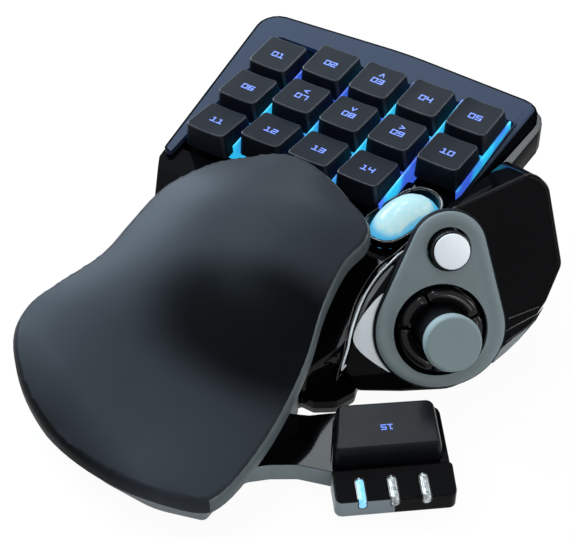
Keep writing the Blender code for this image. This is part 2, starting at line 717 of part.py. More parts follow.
def make_stick():
    frame = thumb_frame()
    pivot = frame @ Matrix.Translation((0.0, 0.0, PIVOT_DEPTH))
    inner, outer, half = GIMBAL
    ring = turned(((inner, -half), (outer, -half), (outer, half), (inner, half)), 24)
    gimbal = piece("stick_gimbal", ring, "steel", pivot)
    pins = []
    for axis, near, far in (("Y", outer - 1.0, LUG_REACH + 0.6), ("X", inner - 1.3, outer - 1.0)):
        for layer in ((-far, -near), (near, far)):
            pins.append(moved(prism(circle(PIN_RADIUS, steps=12), layer), rotation(90.0, axis)))
    shape_with(gimbal, cutter("gimbal_pins", gathered(pins), pivot), "UNION")

    low = RING_SEAT - PIVOT_DEPTH
    top = RING_TOP - PIVOT_DEPTH
    middle = (RING_OUTER + RING_INNER) / 2
    reach = (RING_OUTER - RING_INNER) / 2
    turns = [math.pi * step / 6 for step in range(7)]
    crown = [(middle + reach * math.cos(t), top - RING_CROWN + RING_CROWN * math.sin(t)) for t in turns]
    below = [(RING_OUTER - 1.0, low), (RING_OUTER + 1.0, low - 2.6), (RING_SKIRT, low - 2.9)]
    above = [(RING_SKIRT, low - 2.1), (RING_OUTER + 1.2, low - 1.7), (RING_OUTER, low + 0.4)]
    hub = [(0.0, -3.0), (HUB_RADIUS, -3.0), (HUB_RADIUS, low)]
    profile = hub + below + above + crown + [(RING_INNER, low + 1.5), (0.0, low + 1.5)]
    dpad = piece("dpad_ring", turned(profile, 40), "gloss_black", pivot)
    cut(dpad, "hub_bores", moved(prism(circle(PIN_BORE, steps=12), (-6.0, 6.0)), rotation(90.0, "X")), pivot)

    base = low + 1.5 + GAP
    height = STICK_TOP - PIVOT_DEPTH
    profile = (
        (0.0, base), (8.2, base), (7.2, base + 4.5), (7.4, height - 7.0), (8.7, height - 4.6),
        (STICK_RADIUS, height - 1.6), (STICK_RADIUS - 0.5, height - 0.4), (STICK_RADIUS - 1.3, height),
        (0.0, height),
    )
    piece("thumb_stick", turned(profile, 40), "stick_rubber", pivot)


def make_thumb_button():
    frame = thumb_frame() @ Matrix.Translation((*PLATE_TIP, 0.0))
    profile = (
        (0.0, -5.2), (BUTTON_RADIUS, -5.2), (BUTTON_RADIUS, BUTTON_TOP - 0.7),
        (BUTTON_RADIUS - 0.2, BUTTON_TOP - 0.2), (BUTTON_RADIUS - 0.7, BUTTON_TOP), (0.0, BUTTON_TOP),
    )
    piece("thumb_button", turned(profile, 32), "gloss_black", frame)
    disc = BUTTON_RADIUS - 0.7
    low = BUTTON_TOP + GAP / 3
    profile = ((0.0, low), (disc, low), (disc, low + 0.4), (disc - 0.5, low + 0.8), (0.0, low + 0.9))
    piece("thumb_button_disc", turned(profile, 32), "silver_button", frame)


# Thumb key and status lights

def make_paddle():
    frame = paddle_frame()
    left, right, front, back = LIGHT_BLOCK
    low, high = LIGHT_BLOCK_HEIGHTS

    def roof(x, y):
        return low + (high - low) * (y - front) / (back - front)

    corners = ((left, front, 2.2), (right, front, 2.2), (right + 0.4, back, 1.2), (left, back, 1.2))
    outline = rounded(corners, 4)
    solid = loft(at_height(outline, COVER_LAYER[0]), at_height(outline, roof))
    cover = piece("status_light_cover", solid, "gloss_black", frame)
    soften(cover, 0.6, 2)
    inner = rounded(shrunk(corners, 1.8), 4)
    room = loft(at_height(inner, 0.0), at_height(inner, lambda x, y: roof(x, y) - 1.8))
    cut(cover, "light_hollow", room, frame)

    def lens(grow):
        """Light pipe that lies in the block's top and turns down its front wall."""
        width = LENS_WIDTH / 2 + grow
        proud = 0.1 + 4 * grow
        side = (
            (front - 0.15 - grow, 5.0 - grow), (front + 1.2 + grow, 5.0 - grow), (front + 1.2 + grow, 5.6),
            (LENS_LENGTH + grow, 6.2 + grow), (LENS_LENGTH + grow, roof(0, LENS_LENGTH) + proud),
            (front + 0.6, roof(0, 0.6) + proud), (front - 0.05 - proud, roof(0, 0) - 0.7),
        )
        return loft([Vector((-width, y, z)) for y, z in side], [Vector((width, y, z)) for y, z in side])

    for number, x in enumerate(LENS_SPOTS, start=1):
        spot = frame @ Matrix.Translation((x, 0.0, 0.0))
        surface = "blue_light" if number == 1 else "clear_lens"
        cut(cover, f"lens_slot_{number}", lens(GAP / 2), spot)
        piece(f"status_lens_{number}", lens(0.0), surface, spot)
    board = prism(box_outline(30.0, 6.0, 0.5, centre=((left + right) / 2, 5.2), steps=1), (2.2, 3.6))
    piece("status_light_board", board, "board_green", frame)

    seam = back + GAP
    block = [(left + 0.2, seam, 0.6), (right - 0.2, seam, 0.6), (35.2, 35.2, 3.0), (0.4, 35.4, 2.5)]
    block = [(*frame_point(frame, x, y), radius) for x, y, radius in block]
    near = [(19.3, -70.6, 0.6), (21.2, -66.2, 3.0), (26.0, -61.6, 6.0), (33.0, -56.9, 6.0)]
    far = [(25.0, -38.2, 2.0), (19.1, -41.0, 1.0)]
    corners = near + block + far
    arm = piece("thumb_key_arm", prism(rounded(corners, 3), (COVER_LAYER[0], ARM_TOP)), "gloss_black")
    soften(arm, 0.6, 2)
    inner = rounded(shrunk(corners, ARM_WALL), 3)
    cut(arm, "arm_hollow", prism(inner, (0.0, ARM_TRAY - ARM_WALL)))
    inner = rounded(shrunk(corners, ARM_WALL + 0.3), 3)
    room = prism(inner, (1.0, ARM_TOP - ARM_WALL))
    cut(arm, "arm_room", trimmed(room, frame @ Vector((-4.0, 0.0, 0.0)), frame.to_3x3().col[0]))
    tray = rounded(shrunk(SPACE_KEY_CORNERS, -0.6), 4)
    cut(arm, "key_tray", prism(tray, (ARM_TRAY, 20.0)), frame)
    hole = box_outline(STEM_SIZE + 0.6, STEM_SIZE + 0.6, 0.4, centre=SPACE_KEY_STEM, steps=1)
    cut(arm, "space_stem_hole", prism(hole, (0.0, 12.0)), frame)

    foot = ARM_TRAY + SPACE_KEY_TRAVEL + 0.4
    base = rounded(SPACE_KEY_CORNERS, 4)
    top = rounded(shrunk(SPACE_KEY_CORNERS, 0.9), 4)
    crown = loft(at_height(base, foot), at_height(base, SPACE_KEY_TOP - 3.0), at_height(top, SPACE_KEY_TOP))
    key = piece("space_key", crown, "keycap_black", frame)
    soften(key, 0.7, 2, 25.0)
    inner = rounded(shrunk(SPACE_KEY_CORNERS, 2.0), 4)
    cut(key, "space_hollow", prism(inner, (0.0, SPACE_KEY_TOP - 1.8)), frame)
    stem = box_outline(STEM_SIZE, STEM_SIZE, 0.4, centre=SPACE_KEY_STEM, steps=1)
    stem = prism(stem, (COVER_LAYER[0] + 1.0 + SPACE_KEY_TRAVEL, SPACE_KEY_TOP - 1.0))
    shape_with(key, cutter("space_stem", stem, frame), "UNION")
    switch = box_outline(9.0, 9.0, 0.5, centre=SPACE_KEY_STEM, steps=1)
    piece("space_key_switch", prism(switch, (COVER_LAYER[0], COVER_LAYER[0] + 0.7)), "inner_black", frame)


def frame_point(frame, x, y):
    spot = frame @ Vector((x, y, 0.0))
    return spot.x, spot.y


# Palm rest

def along(table, y):
    """Value read from pairs of place and value, on a smooth cubic through them."""
    y = min(max(y, table[0][0]), table[-1][0])
    index = max(k for k in range(len(table) - 1) if table[k][0] <= y)
    (y0, v0), (y1, v1) = table[index], table[index + 1]

    def slope(k):
        before, after = table[max(k - 1, 0)], table[min(k + 1, len(table) - 1)]
        return (after[1] - before[1]) / (after[0] - before[0])

    t = (y - y0) / (y1 - y0)
    run = y1 - y0
    rise = (3 - 2 * t) * t * t
    return v0 + (v1 - v0) * rise + run * t * (1 - t) * ((1 - t) * slope(index) - t * slope(index + 1))


def palm_outline():
    return flowing(PALM_POINTS)


def palm_sides(outline, y):
    """Left and right ends of the palm rest's outline at a place along its length."""
    crossings = []
    for first, second in zip(outline, outline[1:] + outline[:1]):
        if (first.y < y) != (second.y < y):
            crossings.append(first.x + (second.x - first.x) * (y - first.y) / (second.y - first.y))
    return min(crossings), max(crossings)


def palm_height(outline, x, y):
    """Height of the palm rest's skin, domed between its sides."""
    left, right = palm_sides(outline, min(max(y, -90.0), 18.0))
    middle = (left + right) / 2
    share = min(abs(x - middle) / ((right - left) / 2), 1.0)
    return along(PALM_RIDGE, y) - along(PALM_DROP, y) * share * share


def tail_height(y):
    """Height of the palm base's sloping roof."""
    height, start = TAIL_ROOF
    return height + math.tan(math.radians(SLIDE_ANGLE)) * (y - start)


def palm_underside(skin, y):
    """Height under the skin, clear of the slide where the pad is thick enough."""
    clear = max(skin - PALM_THICKNESS, tail_height(y) + SLIDE_SPACE)
    return min(clear, skin - PALM_THINNEST)


def palm_mesh():
    """Net over the outline with an inset lip, lifted to the skin and closed from below."""
    outline = palm_outline()
    mesh = bmesh.new()
    face = mesh.faces.new([mesh.verts.new((point.x, point.y, 0.0)) for point in outline])
    face.normal_update()
    bmesh.ops.inset_region(mesh, faces=[face], thickness=PALM_LIP, use_boundary=True, use_even_offset=True)
    for place_x in range(-60, 30, 12):
        split_net(mesh, (place_x, 0, 0), (1, 0, 0))
    for place_y in range(-85, 25, 11):
        split_net(mesh, (0, place_y, 0), (0, 1, 0))
    for vert in mesh.verts:
        lip = PALM_LIP_DROP if vert.is_boundary else 0.0
        vert.co.z = palm_height(outline, vert.co.x, vert.co.y) - lip
    lower = mesh.verts[:]
    bmesh.ops.extrude_face_region(mesh, geom=mesh.faces[:])
    for vert in lower:
        vert.co.z = palm_underside(vert.co.z, vert.co.y)
    bmesh.ops.recalc_face_normals(mesh, faces=mesh.faces)
    return mesh


def split_net(mesh, point, normal):
    inner = [face for face in mesh.faces if not any(vert.is_boundary for vert in face.verts)]
    edges = {edge for face in inner for edge in face.edges}
    verts = {vert for face in inner for vert in face.verts}
    bmesh.ops.bisect_plane(mesh, geom=list(verts) + list(edges) + inner, plane_co=point, plane_no=normal)


def slide_frame():
    height, y = TAIL_ROOF
    return Matrix.Translation((-19.0, y, height)) @ rotation(SLIDE_ANGLE, "X")


def make_palm_rest():
    piece("palm_pad", palm_mesh(), "soft_touch", smooth=60.0)
    outline = rounded(TAIL_CORNERS, 4)

    def roof(x, y):
        return tail_height(y)

    block = loft(at_height(outline, COVER_LAYER[0]), at_height(outline, roof))
    tail = piece("palm_base", block, "gloss_black")
    soften(tail, 0.6, 2, 50.0)
    inner = rounded(shrunk(TAIL_CORNERS, TAIL_WALL), 4)
    room = loft(at_height(inner, 0.0), at_height(inner, lambda x, y: roof(x, y) - TAIL_WALL))
    cut(tail, "tail_hollow", room)
    seat = prism(inset(rounded(COVER_CORNERS, 3), -GAP), (0.0, COVER_LAYER[1] + GAP))
    cut(tail, "cover_seat", seat)

    frame = slide_frame()
    plate = prism(box_outline(CARRIER_WIDTH, CARRIER_LENGTH, 3.0, centre=(0.0, CARRIER_MIDDLE)), (0.5, 2.0))
    carrier = piece("palm_carrier", plate, "inner_black", frame)
    posts = []
    pad_line = palm_outline()
    for x in (-15.0, 15.0):
        for y in (CARRIER_MIDDLE - 11.0, CARRIER_MIDDLE + 11.0):
            foot = frame @ Vector((x, y, 2.0))
            under = palm_underside(palm_height(pad_line, foot.x, foot.y), foot.y) - 2.0
            post = prism(circle(2.5, steps=12), (-1.2, under - foot.z))
            posts.append(moved(post, Matrix.Translation(foot)))
    shape_with(carrier, cutter("carrier_posts", gathered(posts)), "UNION")
    for name, side in (("slide_rail_left", -1), ("slide_rail_right", 1)):
        middle = (side * (CARRIER_WIDTH / 2 + 1.9), CARRIER_MIDDLE - SLIDE_TRAVEL / 2)
        bar = box_outline(3.0, CARRIER_LENGTH + SLIDE_TRAVEL, 0.8, centre=middle, steps=1)
        piece(name, prism(bar, (0.3, 2.4)), "steel", frame)


def main():
    clear_scene()
    make_base()
    make_body()
    make_bezel()
    make_bank_plates()
    make_keys()
    make_wheel()
    make_thumb_housing()
    make_thumb_plate()
    make_thumb_insides()
    make_stick()
    make_thumb_button()
    make_paddle()
    make_palm_rest()


main()
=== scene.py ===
"""Left-hand gaming keypad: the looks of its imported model.

Shapes are made in millimetres and scaled to metres when they are shown.
X runs to the right, Y away from the user and Z up, as in the model.
"""

import math

import bmesh
import bpy
from mathutils import Matrix, Vector


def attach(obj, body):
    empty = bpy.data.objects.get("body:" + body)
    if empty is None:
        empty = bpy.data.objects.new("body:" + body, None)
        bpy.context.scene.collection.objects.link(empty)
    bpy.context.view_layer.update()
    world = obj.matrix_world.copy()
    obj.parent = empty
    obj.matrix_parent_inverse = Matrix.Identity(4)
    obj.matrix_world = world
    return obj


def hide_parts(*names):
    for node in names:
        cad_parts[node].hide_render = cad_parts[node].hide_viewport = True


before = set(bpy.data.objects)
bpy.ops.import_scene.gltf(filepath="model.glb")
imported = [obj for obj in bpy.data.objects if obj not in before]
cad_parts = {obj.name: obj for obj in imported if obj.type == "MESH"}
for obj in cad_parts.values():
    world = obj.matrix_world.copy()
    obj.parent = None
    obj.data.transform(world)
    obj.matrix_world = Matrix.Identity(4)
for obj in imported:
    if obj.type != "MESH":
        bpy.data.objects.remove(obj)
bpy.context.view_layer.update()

# Camera: the photograph's view, from the front right and above. Its place and turn
# were solved from the grid of the fourteen keys.
CAMERA_PLACE = (0.19161, -0.30339, 0.34922)
CAMERA_RIGHT = Vector((0.83453, 0.55096, 0.0))
CAMERA_UP = Vector((-0.36779, 0.55709, 0.74457))
SENSOR_WIDTH = 36.0
LENS = 94.41
NEAREST_SEEN = 0.01

camera_data = bpy.data.cameras.new("photo_camera")
camera_data.lens = LENS
camera_data.sensor_width = SENSOR_WIDTH
camera_data.clip_start = NEAREST_SEEN
camera = bpy.data.objects.new("photo_camera", camera_data)
bpy.context.scene.collection.objects.link(camera)
camera_back = CAMERA_RIGHT.cross(CAMERA_UP)
camera_turn = Matrix((CAMERA_RIGHT, CAMERA_UP, camera_back)).transposed().to_4x4()
camera.matrix_world = Matrix.Translation(CAMERA_PLACE) @ camera_turn
bpy.context.scene.camera = camera
bpy.context.scene.view_settings.view_transform = "Standard"

# Studio: a white sweep, a broad soft light on the left, small ones behind and above,
# and a narrow one on the right that draws the highlights on the gloss. A lamp's row
# holds its name, place, size, power and colour.
WHITE = (1.0, 1.0, 1.0, 1.0)
AMBIENT = 0.45
FLOOR_SIZE = 4.0
FLOOR_WHITENESS = 0.95
PAPER_GREY = (0.8, 0.8, 0.8, 1.0)
PAPER_ROUGHNESS = 0.9
LAMPS = (
    ("left_panel", (-0.98, 0.24, 0.60), (0.90, 0.40), 26.0, (0.74, 0.88, 1.0)),
    ("back_panel", (-0.385, 0.615, 0.86), (0.24, 0.20), 3.8, (0.86, 0.95, 1.0)),
    ("roof_panel", (-0.36, 0.18, 1.00), (0.20, 0.18), 2.4, (0.88, 0.96, 1.0)),
    ("front_panel", (-0.36, -0.04, 1.04), (0.24, 0.12), 1.2, (0.86, 0.94, 1.0)),
    ("rim_panel", (0.72, 0.82, 0.36), (0.50, 0.30), 3.6, (0.92, 0.97, 1.0)),
    ("ridge_panel", (0.40, -0.36, 0.98), (0.20, 0.10), 0.7, (0.94, 0.97, 1.0)),
    ("side_strip", (0.95, -0.35, 0.55), (0.10, 0.60), 3.0, (1.0, 1.0, 1.0)),
)
AIM = Vector((0.0, 0.0, 0.02))


def node_of(tree, kind, **inputs):
    """A new shader node with some of its inputs set."""
    node = tree.nodes.new(kind)
    for name, value in inputs.items():
        node.inputs[name.replace("_", " ")].default_value = value
    return node


def connect(tree, value, socket):
    """Feeds a socket with another node's output or with a plain value."""
    if isinstance(value, bpy.types.NodeSocket):
        tree.links.new(value, socket)
    else:
        socket.default_value = value


def maths(tree, operation, *values):
    """Output of a maths node fed with outputs or plain numbers."""
    node = tree.nodes.new("ShaderNodeMath")
    node.operation = operation
    for value, socket in zip(values, node.inputs):
        connect(tree, value, socket)
    return node.outputs[0]


def mapped(tree, value, low, high, to_low=0.0, to_high=1.0, smooth=False):
    """A value stretched from one range to another and held within it."""
    stretch = node_of(tree, "ShaderNodeMapRange", From_Min=low, From_Max=high, To_Min=to_low, To_Max=to_high)
    if smooth:
        stretch.interpolation_type = "SMOOTHSTEP"
    tree.links.new(value, stretch.inputs["Value"])
    return stretch.outputs["Result"]


def seen_directly(tree):
    """1 for camera, glossy and transmission rays, which see a plain white surround."""
    rays = tree.nodes.new("ShaderNodeLightPath").outputs
    seen = maths(tree, "MAXIMUM", rays["Is Camera Ray"], rays["Is Glossy Ray"])
    return maths(tree, "MAXIMUM", seen, rays["Is Transmission Ray"])


def new_material(name):
    """A new material, its node tree and its Principled shader."""
    made = bpy.data.materials.new(name)
    made.use_nodes = True
    return made, made.node_tree, made.node_tree.nodes["Principled BSDF"]


world = bpy.data.worlds.new("studio")
world.use_nodes = True
tree = world.node_tree
background = tree.nodes["Background"]
background.inputs["Color"].default_value = WHITE
tree.links.new(mapped(tree, seen_directly(tree), 0.0, 1.0, AMBIENT), background.inputs["Strength"])
bpy.context.scene.world = world

for name, place, size, power, colour in LAMPS:
    lamp = bpy.data.lights.new(name, "AREA")
    lamp.shape = "RECTANGLE"
    lamp.size, lamp.size_y = size
    lamp.energy = power
    lamp.color = colour
    stand = bpy.data.objects.new(name, lamp)
    bpy.context.scene.collection.objects.link(stand)
    aimed = (AIM - Vector(place)).to_track_quat("-Z", "Y").to_matrix().to_4x4()
    stand.matrix_world = Matrix.Translation(place) @ aimed

sweep = bmesh.new()
bmesh.ops.create_grid(sweep, x_segments=2, y_segments=2, size=FLOOR_SIZE / 2)
floor_mesh = bpy.data.meshes.new("studio_floor")
sweep.to_mesh(floor_mesh)
sweep.free()
floor = bpy.data.objects.new("studio_floor", floor_mesh)
bpy.context.scene.collection.objects.link(floor)
paper, tree, matt = new_material("white_paper")
matt.inputs["Base Color"].default_value = PAPER_GREY
matt.inputs["Roughness"].default_value = PAPER_ROUGHNESS
matt.inputs["Specular IOR Level"].default_value = 0.0
glow = node_of(tree, "ShaderNodeEmission", Color=WHITE, Strength=1.0)
share = maths(tree, "MULTIPLY", seen_directly(tree), FLOOR_WHITENESS)
mixed = tree.nodes.new("ShaderNodeMixShader")
for source, socket in zip((share, matt.outputs[0], glow.outputs[0]), mixed.inputs):
    tree.links.new(source, socket)
tree.links.new(mixed.outputs[0], tree.nodes["Material Output"].inputs["Surface"])
floor_mesh.materials.append(paper)

# Body shell: the moulded case of the key bank, in polished black plastic. It is one
# moulding with a folded roof, open below, and screws hold the bottom cover to it.
MM = 0.001
GLOSS_BLACK = ((0.0012, 0.0014, 0.0019, 1.0), (0.0022, 0.0024, 0.0030, 1.0))
GLOSS_ROUGHNESS = 0.06
GLOSS_SPECULAR = 0.055
SIDE_ROUGHNESS = 0.2
SIDE_SPECULAR = 0.004
SIDE_FACING = 0.25
SIDE_WALL_FROM = 20.0
PATCH_NOISE = (4.0, 0.6)
PATCH_SPREAD = (0.35, 0.7)
GRAIN_DETAIL = 2.0
WELD = 0.004
SAME_PLANE = 0.6
SHARP_ANGLE = 32.0


def noise_of(tree, scale, detail, roughness=0.5):
    """Noise on the piece's own coordinates, at a scale per metre."""
    noise = node_of(tree, "ShaderNodeTexNoise", Detail=detail, Roughness=roughness)
    connect(tree, scale, noise.inputs["Scale"])
    place = tree.nodes.new("ShaderNodeTexCoord").outputs["Object"]
    tree.links.new(place, noise.inputs["Vector"])
    return noise.outputs["Fac"]


def blended(tree, share, first, second):
    """Colour that goes from the first to the second as the share grows."""
    mix = tree.nodes.new("ShaderNodeMix")
    mix.data_type = "RGBA"
    tree.links.new(share, mix.inputs["Factor"])
    connect(tree, first, mix.inputs["A"])
    connect(tree, second, mix.inputs["B"])
    return mix.outputs["Result"]


def surface_group():
    """Uneven colour and gloss and fine grain of a moulded or painted surface."""
    group = bpy.data.node_groups.new("moulded_surface", "ShaderNodeTree")
    sockets = (
        ("Colour", "NodeSocketColor", (0.02, 0.02, 0.02, 1.0)),
        ("Patch Colour", "NodeSocketColor", (0.03, 0.03, 0.03, 1.0)),
        ("Patch Scale", "NodeSocketFloat", 40.0),
        ("Roughness", "NodeSocketFloat", 0.4),
        ("Roughness Spread", "NodeSocketFloat", 0.1),
        ("Grain Scale", "NodeSocketFloat", 2500.0),
    )
    for name, kind, value in sockets:
        socket = group.interface.new_socket(name=name, in_out="INPUT", socket_type=kind)
        socket.default_value = value
    for name, kind in (("Colour", "Color"), ("Roughness", "Float"), ("Grain", "Float")):
        group.interface.new_socket(name=name, in_out="OUTPUT", socket_type="NodeSocket" + kind)
    given = group.nodes.new("NodeGroupInput").outputs
    result = group.nodes.new("NodeGroupOutput").inputs
    patches = mapped(group, noise_of(group, given["Patch Scale"], *PATCH_NOISE), *PATCH_SPREAD)
    colour = blended(group, patches, given["Colour"], given["Patch Colour"])
    centred = maths(group, "SUBTRACT", patches, 0.5)
    rough = maths(group, "MULTIPLY_ADD", centred, given["Roughness Spread"], given["Roughness"])
    group.links.new(colour, result["Colour"])
    group.links.new(rough, result["Roughness"])
    group.links.new(noise_of(group, given["Grain Scale"], GRAIN_DETAIL), result["Grain"])
    return group


moulded_surface = surface_group()


def finish(name, shades, roughness, spread, grain, relief, specular=0.5, patch=40.0):
    """A plastic finish: two shades in soft patches, uneven gloss, and grain of a size in mm."""
    made, tree, shader = new_material(name)
    shader.inputs["Specular IOR Level"].default_value = specular
    pattern = tree.nodes.new("ShaderNodeGroup")
    pattern.node_tree = moulded_surface
    pattern.inputs["Colour"].default_value, pattern.inputs["Patch Colour"].default_value = shades
    pattern.inputs["Patch Scale"].default_value = patch
    pattern.inputs["Roughness"].default_value = roughness
    pattern.inputs["Roughness Spread"].default_value = spread
    pattern.inputs["Grain Scale"].default_value = 1.0 / (grain * MM)
    bump = node_of(tree, "ShaderNodeBump", Strength=1.0, Distance=relief * MM)
    tree.links.new(pattern.outputs["Grain"], bump.inputs["Height"])
    tree.links.new(pattern.outputs["Colour"], shader.inputs["Base Color"])
    tree.links.new(pattern.outputs["Roughness"], shader.inputs["Roughness"])
    tree.links.new(bump.outputs["Normal"], shader.inputs["Normal"])
    return made


def copied(node, place=None):
    """One of the model's nodes, in mm and in the frame of a place, with its triangles joined."""
    shape = bmesh.new()
    shape.from_mesh(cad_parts[node].data)
    bmesh.ops.scale(shape, vec=(1 / MM, 1 / MM, 1 / MM), verts=shape.verts)
    bmesh.ops.remove_doubles(shape, verts=shape.verts, dist=WELD)
    flat = math.radians(SAME_PLANE)
    bmesh.ops.dissolve_limit(shape, angle_limit=flat, verts=shape.verts, edges=shape.edges)
    if place is not None:
        bmesh.ops.transform(shape, matrix=place.inverted(), verts=shape.verts)
    return shape


def show(shape, name, material, body, *nodes, smooth=SHARP_ANGLE, place=None, second=None):
    """Makes an object of a shape in mm, rides it on a body and lets it stand for nodes."""
    if place is not None:
        bmesh.ops.transform(shape, matrix=place, verts=shape.verts)
    bmesh.ops.scale(shape, vec=(MM, MM, MM), verts=shape.verts)
    mesh = bpy.data.meshes.new(name)
    shape.to_mesh(mesh)
    shape.free()
    mesh.materials.append(material)
    if second is not None:
        mesh.materials.append(second)
    mesh.shade_smooth()
    mesh.set_sharp_from_angle(angle=math.radians(smooth))
    piece = bpy.data.objects.new(name, mesh)
    bpy.context.scene.collection.objects.link(piece)
    level = piece.modifiers.new("flat_faces", "WEIGHTED_NORMAL")
    level.keep_sharp = True
    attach(piece, body)
    if nodes:
        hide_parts(*nodes)
    return piece


gloss_black = finish("gloss_black", GLOSS_BLACK, GLOSS_ROUGHNESS, 0.03, 0.9, 0.002, GLOSS_SPECULAR)
# Dull black: the gloss black with almost no reflection. It is used for black borders, and as painted shade on
# walls and sheets.
dull_black_and_shade = finish("dull_black_and_shade", GLOSS_BLACK, SIDE_ROUGHNESS, 0.05, 0.9, 0.002, SIDE_SPECULAR)
body_case = copied("body_shell")
# The body's right back wall gets the dull black, a painted shade.
for face in body_case.faces:
    if face.normal.x > SIDE_FACING and face.calc_center_median().y > SIDE_WALL_FROM:
        face.material_index = 1
show(body_case, "body_case", gloss_black, "base", "body_shell", second=dull_black_and_shade)

# Key bezel: the blue-grey plate round three sides of the keys, satin lacquer over
# plastic with a fine metallic fleck, snapped on to the body. Its right arm falls away
# outwards in gloss black, and a narrow black border runs round it.
BEZEL_GREY = ((0.019, 0.029, 0.053, 1.0), (0.024, 0.035, 0.061, 1.0))
BEZEL_TOP = -7.5
BEZEL_DEPTH = 1.8
BEZEL_BORDER = 0.75
BEZEL_WELL = (48.9, 34.0)
LEVEL_FACE = 0.99
ARM_LINE = ((49.3, -10.5), (51.0, 38.0))
CORNER_LINE = ((51.0, 38.0), (55.5, 36.0))
ARM_FALL = 0.75
ON_LINE = 0.05
BANK_ORIGIN = (-18.0, 52.5, 50.0)
BANK_TILT = 8.5


def turn(degrees, axis):
    """Rotation about an axis of the model."""
    return Matrix.Rotation(math.radians(degrees), 4, axis)


def cut_across(shape, place, normal):
    """Adds a line of edges where a plane crosses the shape."""
    everything = shape.verts[:] + shape.edges[:] + shape.faces[:]
    bmesh.ops.bisect_plane(shape, geom=everything, plane_co=place, plane_no=normal)


def right_of(line):
    """Level direction that points to the right of a line of two points."""
    along_line = Vector(line[1]) - Vector(line[0])
    return Vector((along_line.y, -along_line.x, 0.0)).normalized()


def past_lines(vert):
    """How far a point lies beyond the lines where the right arm begins to fall."""
    reaches = []
    for line, normal in slope_lines:
        reaches.append((vert.co - Vector((*line[0], 0.0))).dot(normal))
    return min(reaches)


bank = Matrix.Translation(BANK_ORIGIN) @ turn(BANK_TILT, "X")
slope_lines = [(line, right_of(line)) for line in (ARM_LINE, CORNER_LINE)]
bezel_grey = finish("bezel_lacquer", BEZEL_GREY, 0.46, 0.08, 0.25, 0.010, 0.06)
bezel = copied("key_bezel", bank)
tops = [face for face in bezel.faces if face.normal.z > LEVEL_FACE]
border = bmesh.ops.inset_region(bezel, faces=tops, thickness=BEZEL_BORDER, use_even_offset=True)
for face in border["faces"]:
    spot = face.calc_center_median()
    if abs(spot.x) > BEZEL_WELL[0] or spot.y > BEZEL_WELL[1]:
        face.material_index = 1
for line, normal in slope_lines:
    cut_across(bezel, (*line[0], 0.0), normal)
for vert in bezel.verts:
    beyond = past_lines(vert)
    if beyond > ON_LINE:
        vert.co.z = min(vert.co.z, BEZEL_TOP - min(beyond * ARM_FALL, BEZEL_DEPTH))
for face in bezel.faces:
    reaches = [past_lines(vert) for vert in face.verts]
    if min(reaches) > -ON_LINE and max(reaches) > ON_LINE:
        face.material_index = 1
show(bezel, "bezel_plate", bezel_grey, "base", "key_bezel", smooth=20.0, place=bank, second=dull_black_and_shade)

# Light under the keys: a milky diffuser sheet lit from below, cyan with violet
# patches, and the dark guide plate that holds the key stems.
LIGHT_CYAN = (0.02, 0.36, 0.60, 1.0)
LIGHT_VIOLET = (0.03, 0.08, 0.48, 1.0)
LIGHT_STRENGTH = 1.25
LIGHT_CLOUDS = (70.0, 1.0)
LIGHT_SPREAD = (0.42, 0.58)
LIGHT_GLOSS = (0.3, 0.55)
INNER_BLACK = ((0.02, 0.02, 0.022, 1.0), (0.03, 0.03, 0.032, 1.0))


def lit_finish(name, shades, strength, clouds, gloss, base=None, spread=(0.0, 1.0)):
    """Clear plastic lit from behind, in two shades that drift like clouds."""
    made, tree, shader = new_material(name)
    drift = noise_of(tree, *clouds)
    tint = blended(tree, mapped(tree, drift, *spread), *shades)
    tree.links.new(tint, shader.inputs["Emission Color"])
    shader.inputs["Emission Strength"].default_value = strength
    connect(tree, tint if base is None else base, shader.inputs["Base Color"])
    tree.links.new(mapped(tree, drift, 0.0, 1.0, *gloss), shader.inputs["Roughness"])
    return made


def repaint(node, material):
    """Gives one of the model's own nodes a material."""
    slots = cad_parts[node].data.materials
    slots.clear()
    slots.append(material)


diffuser = lit_finish("lit_diffuser", (LIGHT_VIOLET, LIGHT_CYAN), LIGHT_STRENGTH, LIGHT_CLOUDS,
                      LIGHT_GLOSS, spread=LIGHT_SPREAD)
repaint("light_diffuser", diffuser)
inner_black = finish("inner_black", INNER_BLACK, 0.5, 0.1, 0.4, 0.01)
repaint("key_guide_plate", inner_black)

# Keys: fourteen caps in satin black ABS with a dished top, in three rows, each row
# leaning a little more to the user. Each cap is a hollow moulding on a square stem.
KEY_COUNT = 14
KEYS_PER_ROW = 5
MIDDLE_COLUMN = 2
MIDDLE_ROW = 1
KEY_PITCH = 19.0
FIRST_COLUMN_DROP = 4.75
CAP_BASE = 17.1
CAP_TOP = (15.0, 15.7)
CAP_SKIRT = -8.2
CAP_CEILING = -3.2
CAP_WALL = 1.3
CAP_CORNER = 1.7
CAP_RIM = 0.42
CAP_DISH = 0.45
DISH_CUTS = (-5.0, -2.6, 0.0, 2.6, 5.0)
ROW_LEAN = (-3.0, -7.0, -11.0)
STEM_SIZE = 6.0
STEM_HEAD = -2.0
STEM_FOOT = -17.0
AT_LEVEL = 0.1
FACING = 0.9
LIT_CORNER = 0.4
KEY_BLACK = ((0.0052, 0.0072, 0.0112, 1.0), (0.0066, 0.0088, 0.0134, 1.0))
KEY_EDGE_HIGHLIGHT = ((0.010, 0.013, 0.018, 1.0), (0.026, 0.031, 0.040, 1.0))


def rounded_off(shape, edges, width, segments=3):
    """Rounds edges off and returns the new faces."""
    rounded = bmesh.ops.bevel(shape, geom=edges, offset=width, segments=segments, affect="EDGES",
                              profile=0.5, material=-1, clamp_overlap=True)
    return rounded["faces"]


def block(shape, size, middle):
    """Adds a box to a shape and returns its vertices."""
    verts = bmesh.ops.create_cube(shape, size=1.0)["verts"]
    bmesh.ops.scale(shape, vec=size, verts=verts)
    bmesh.ops.translate(shape, vec=middle, verts=verts)
    return verts


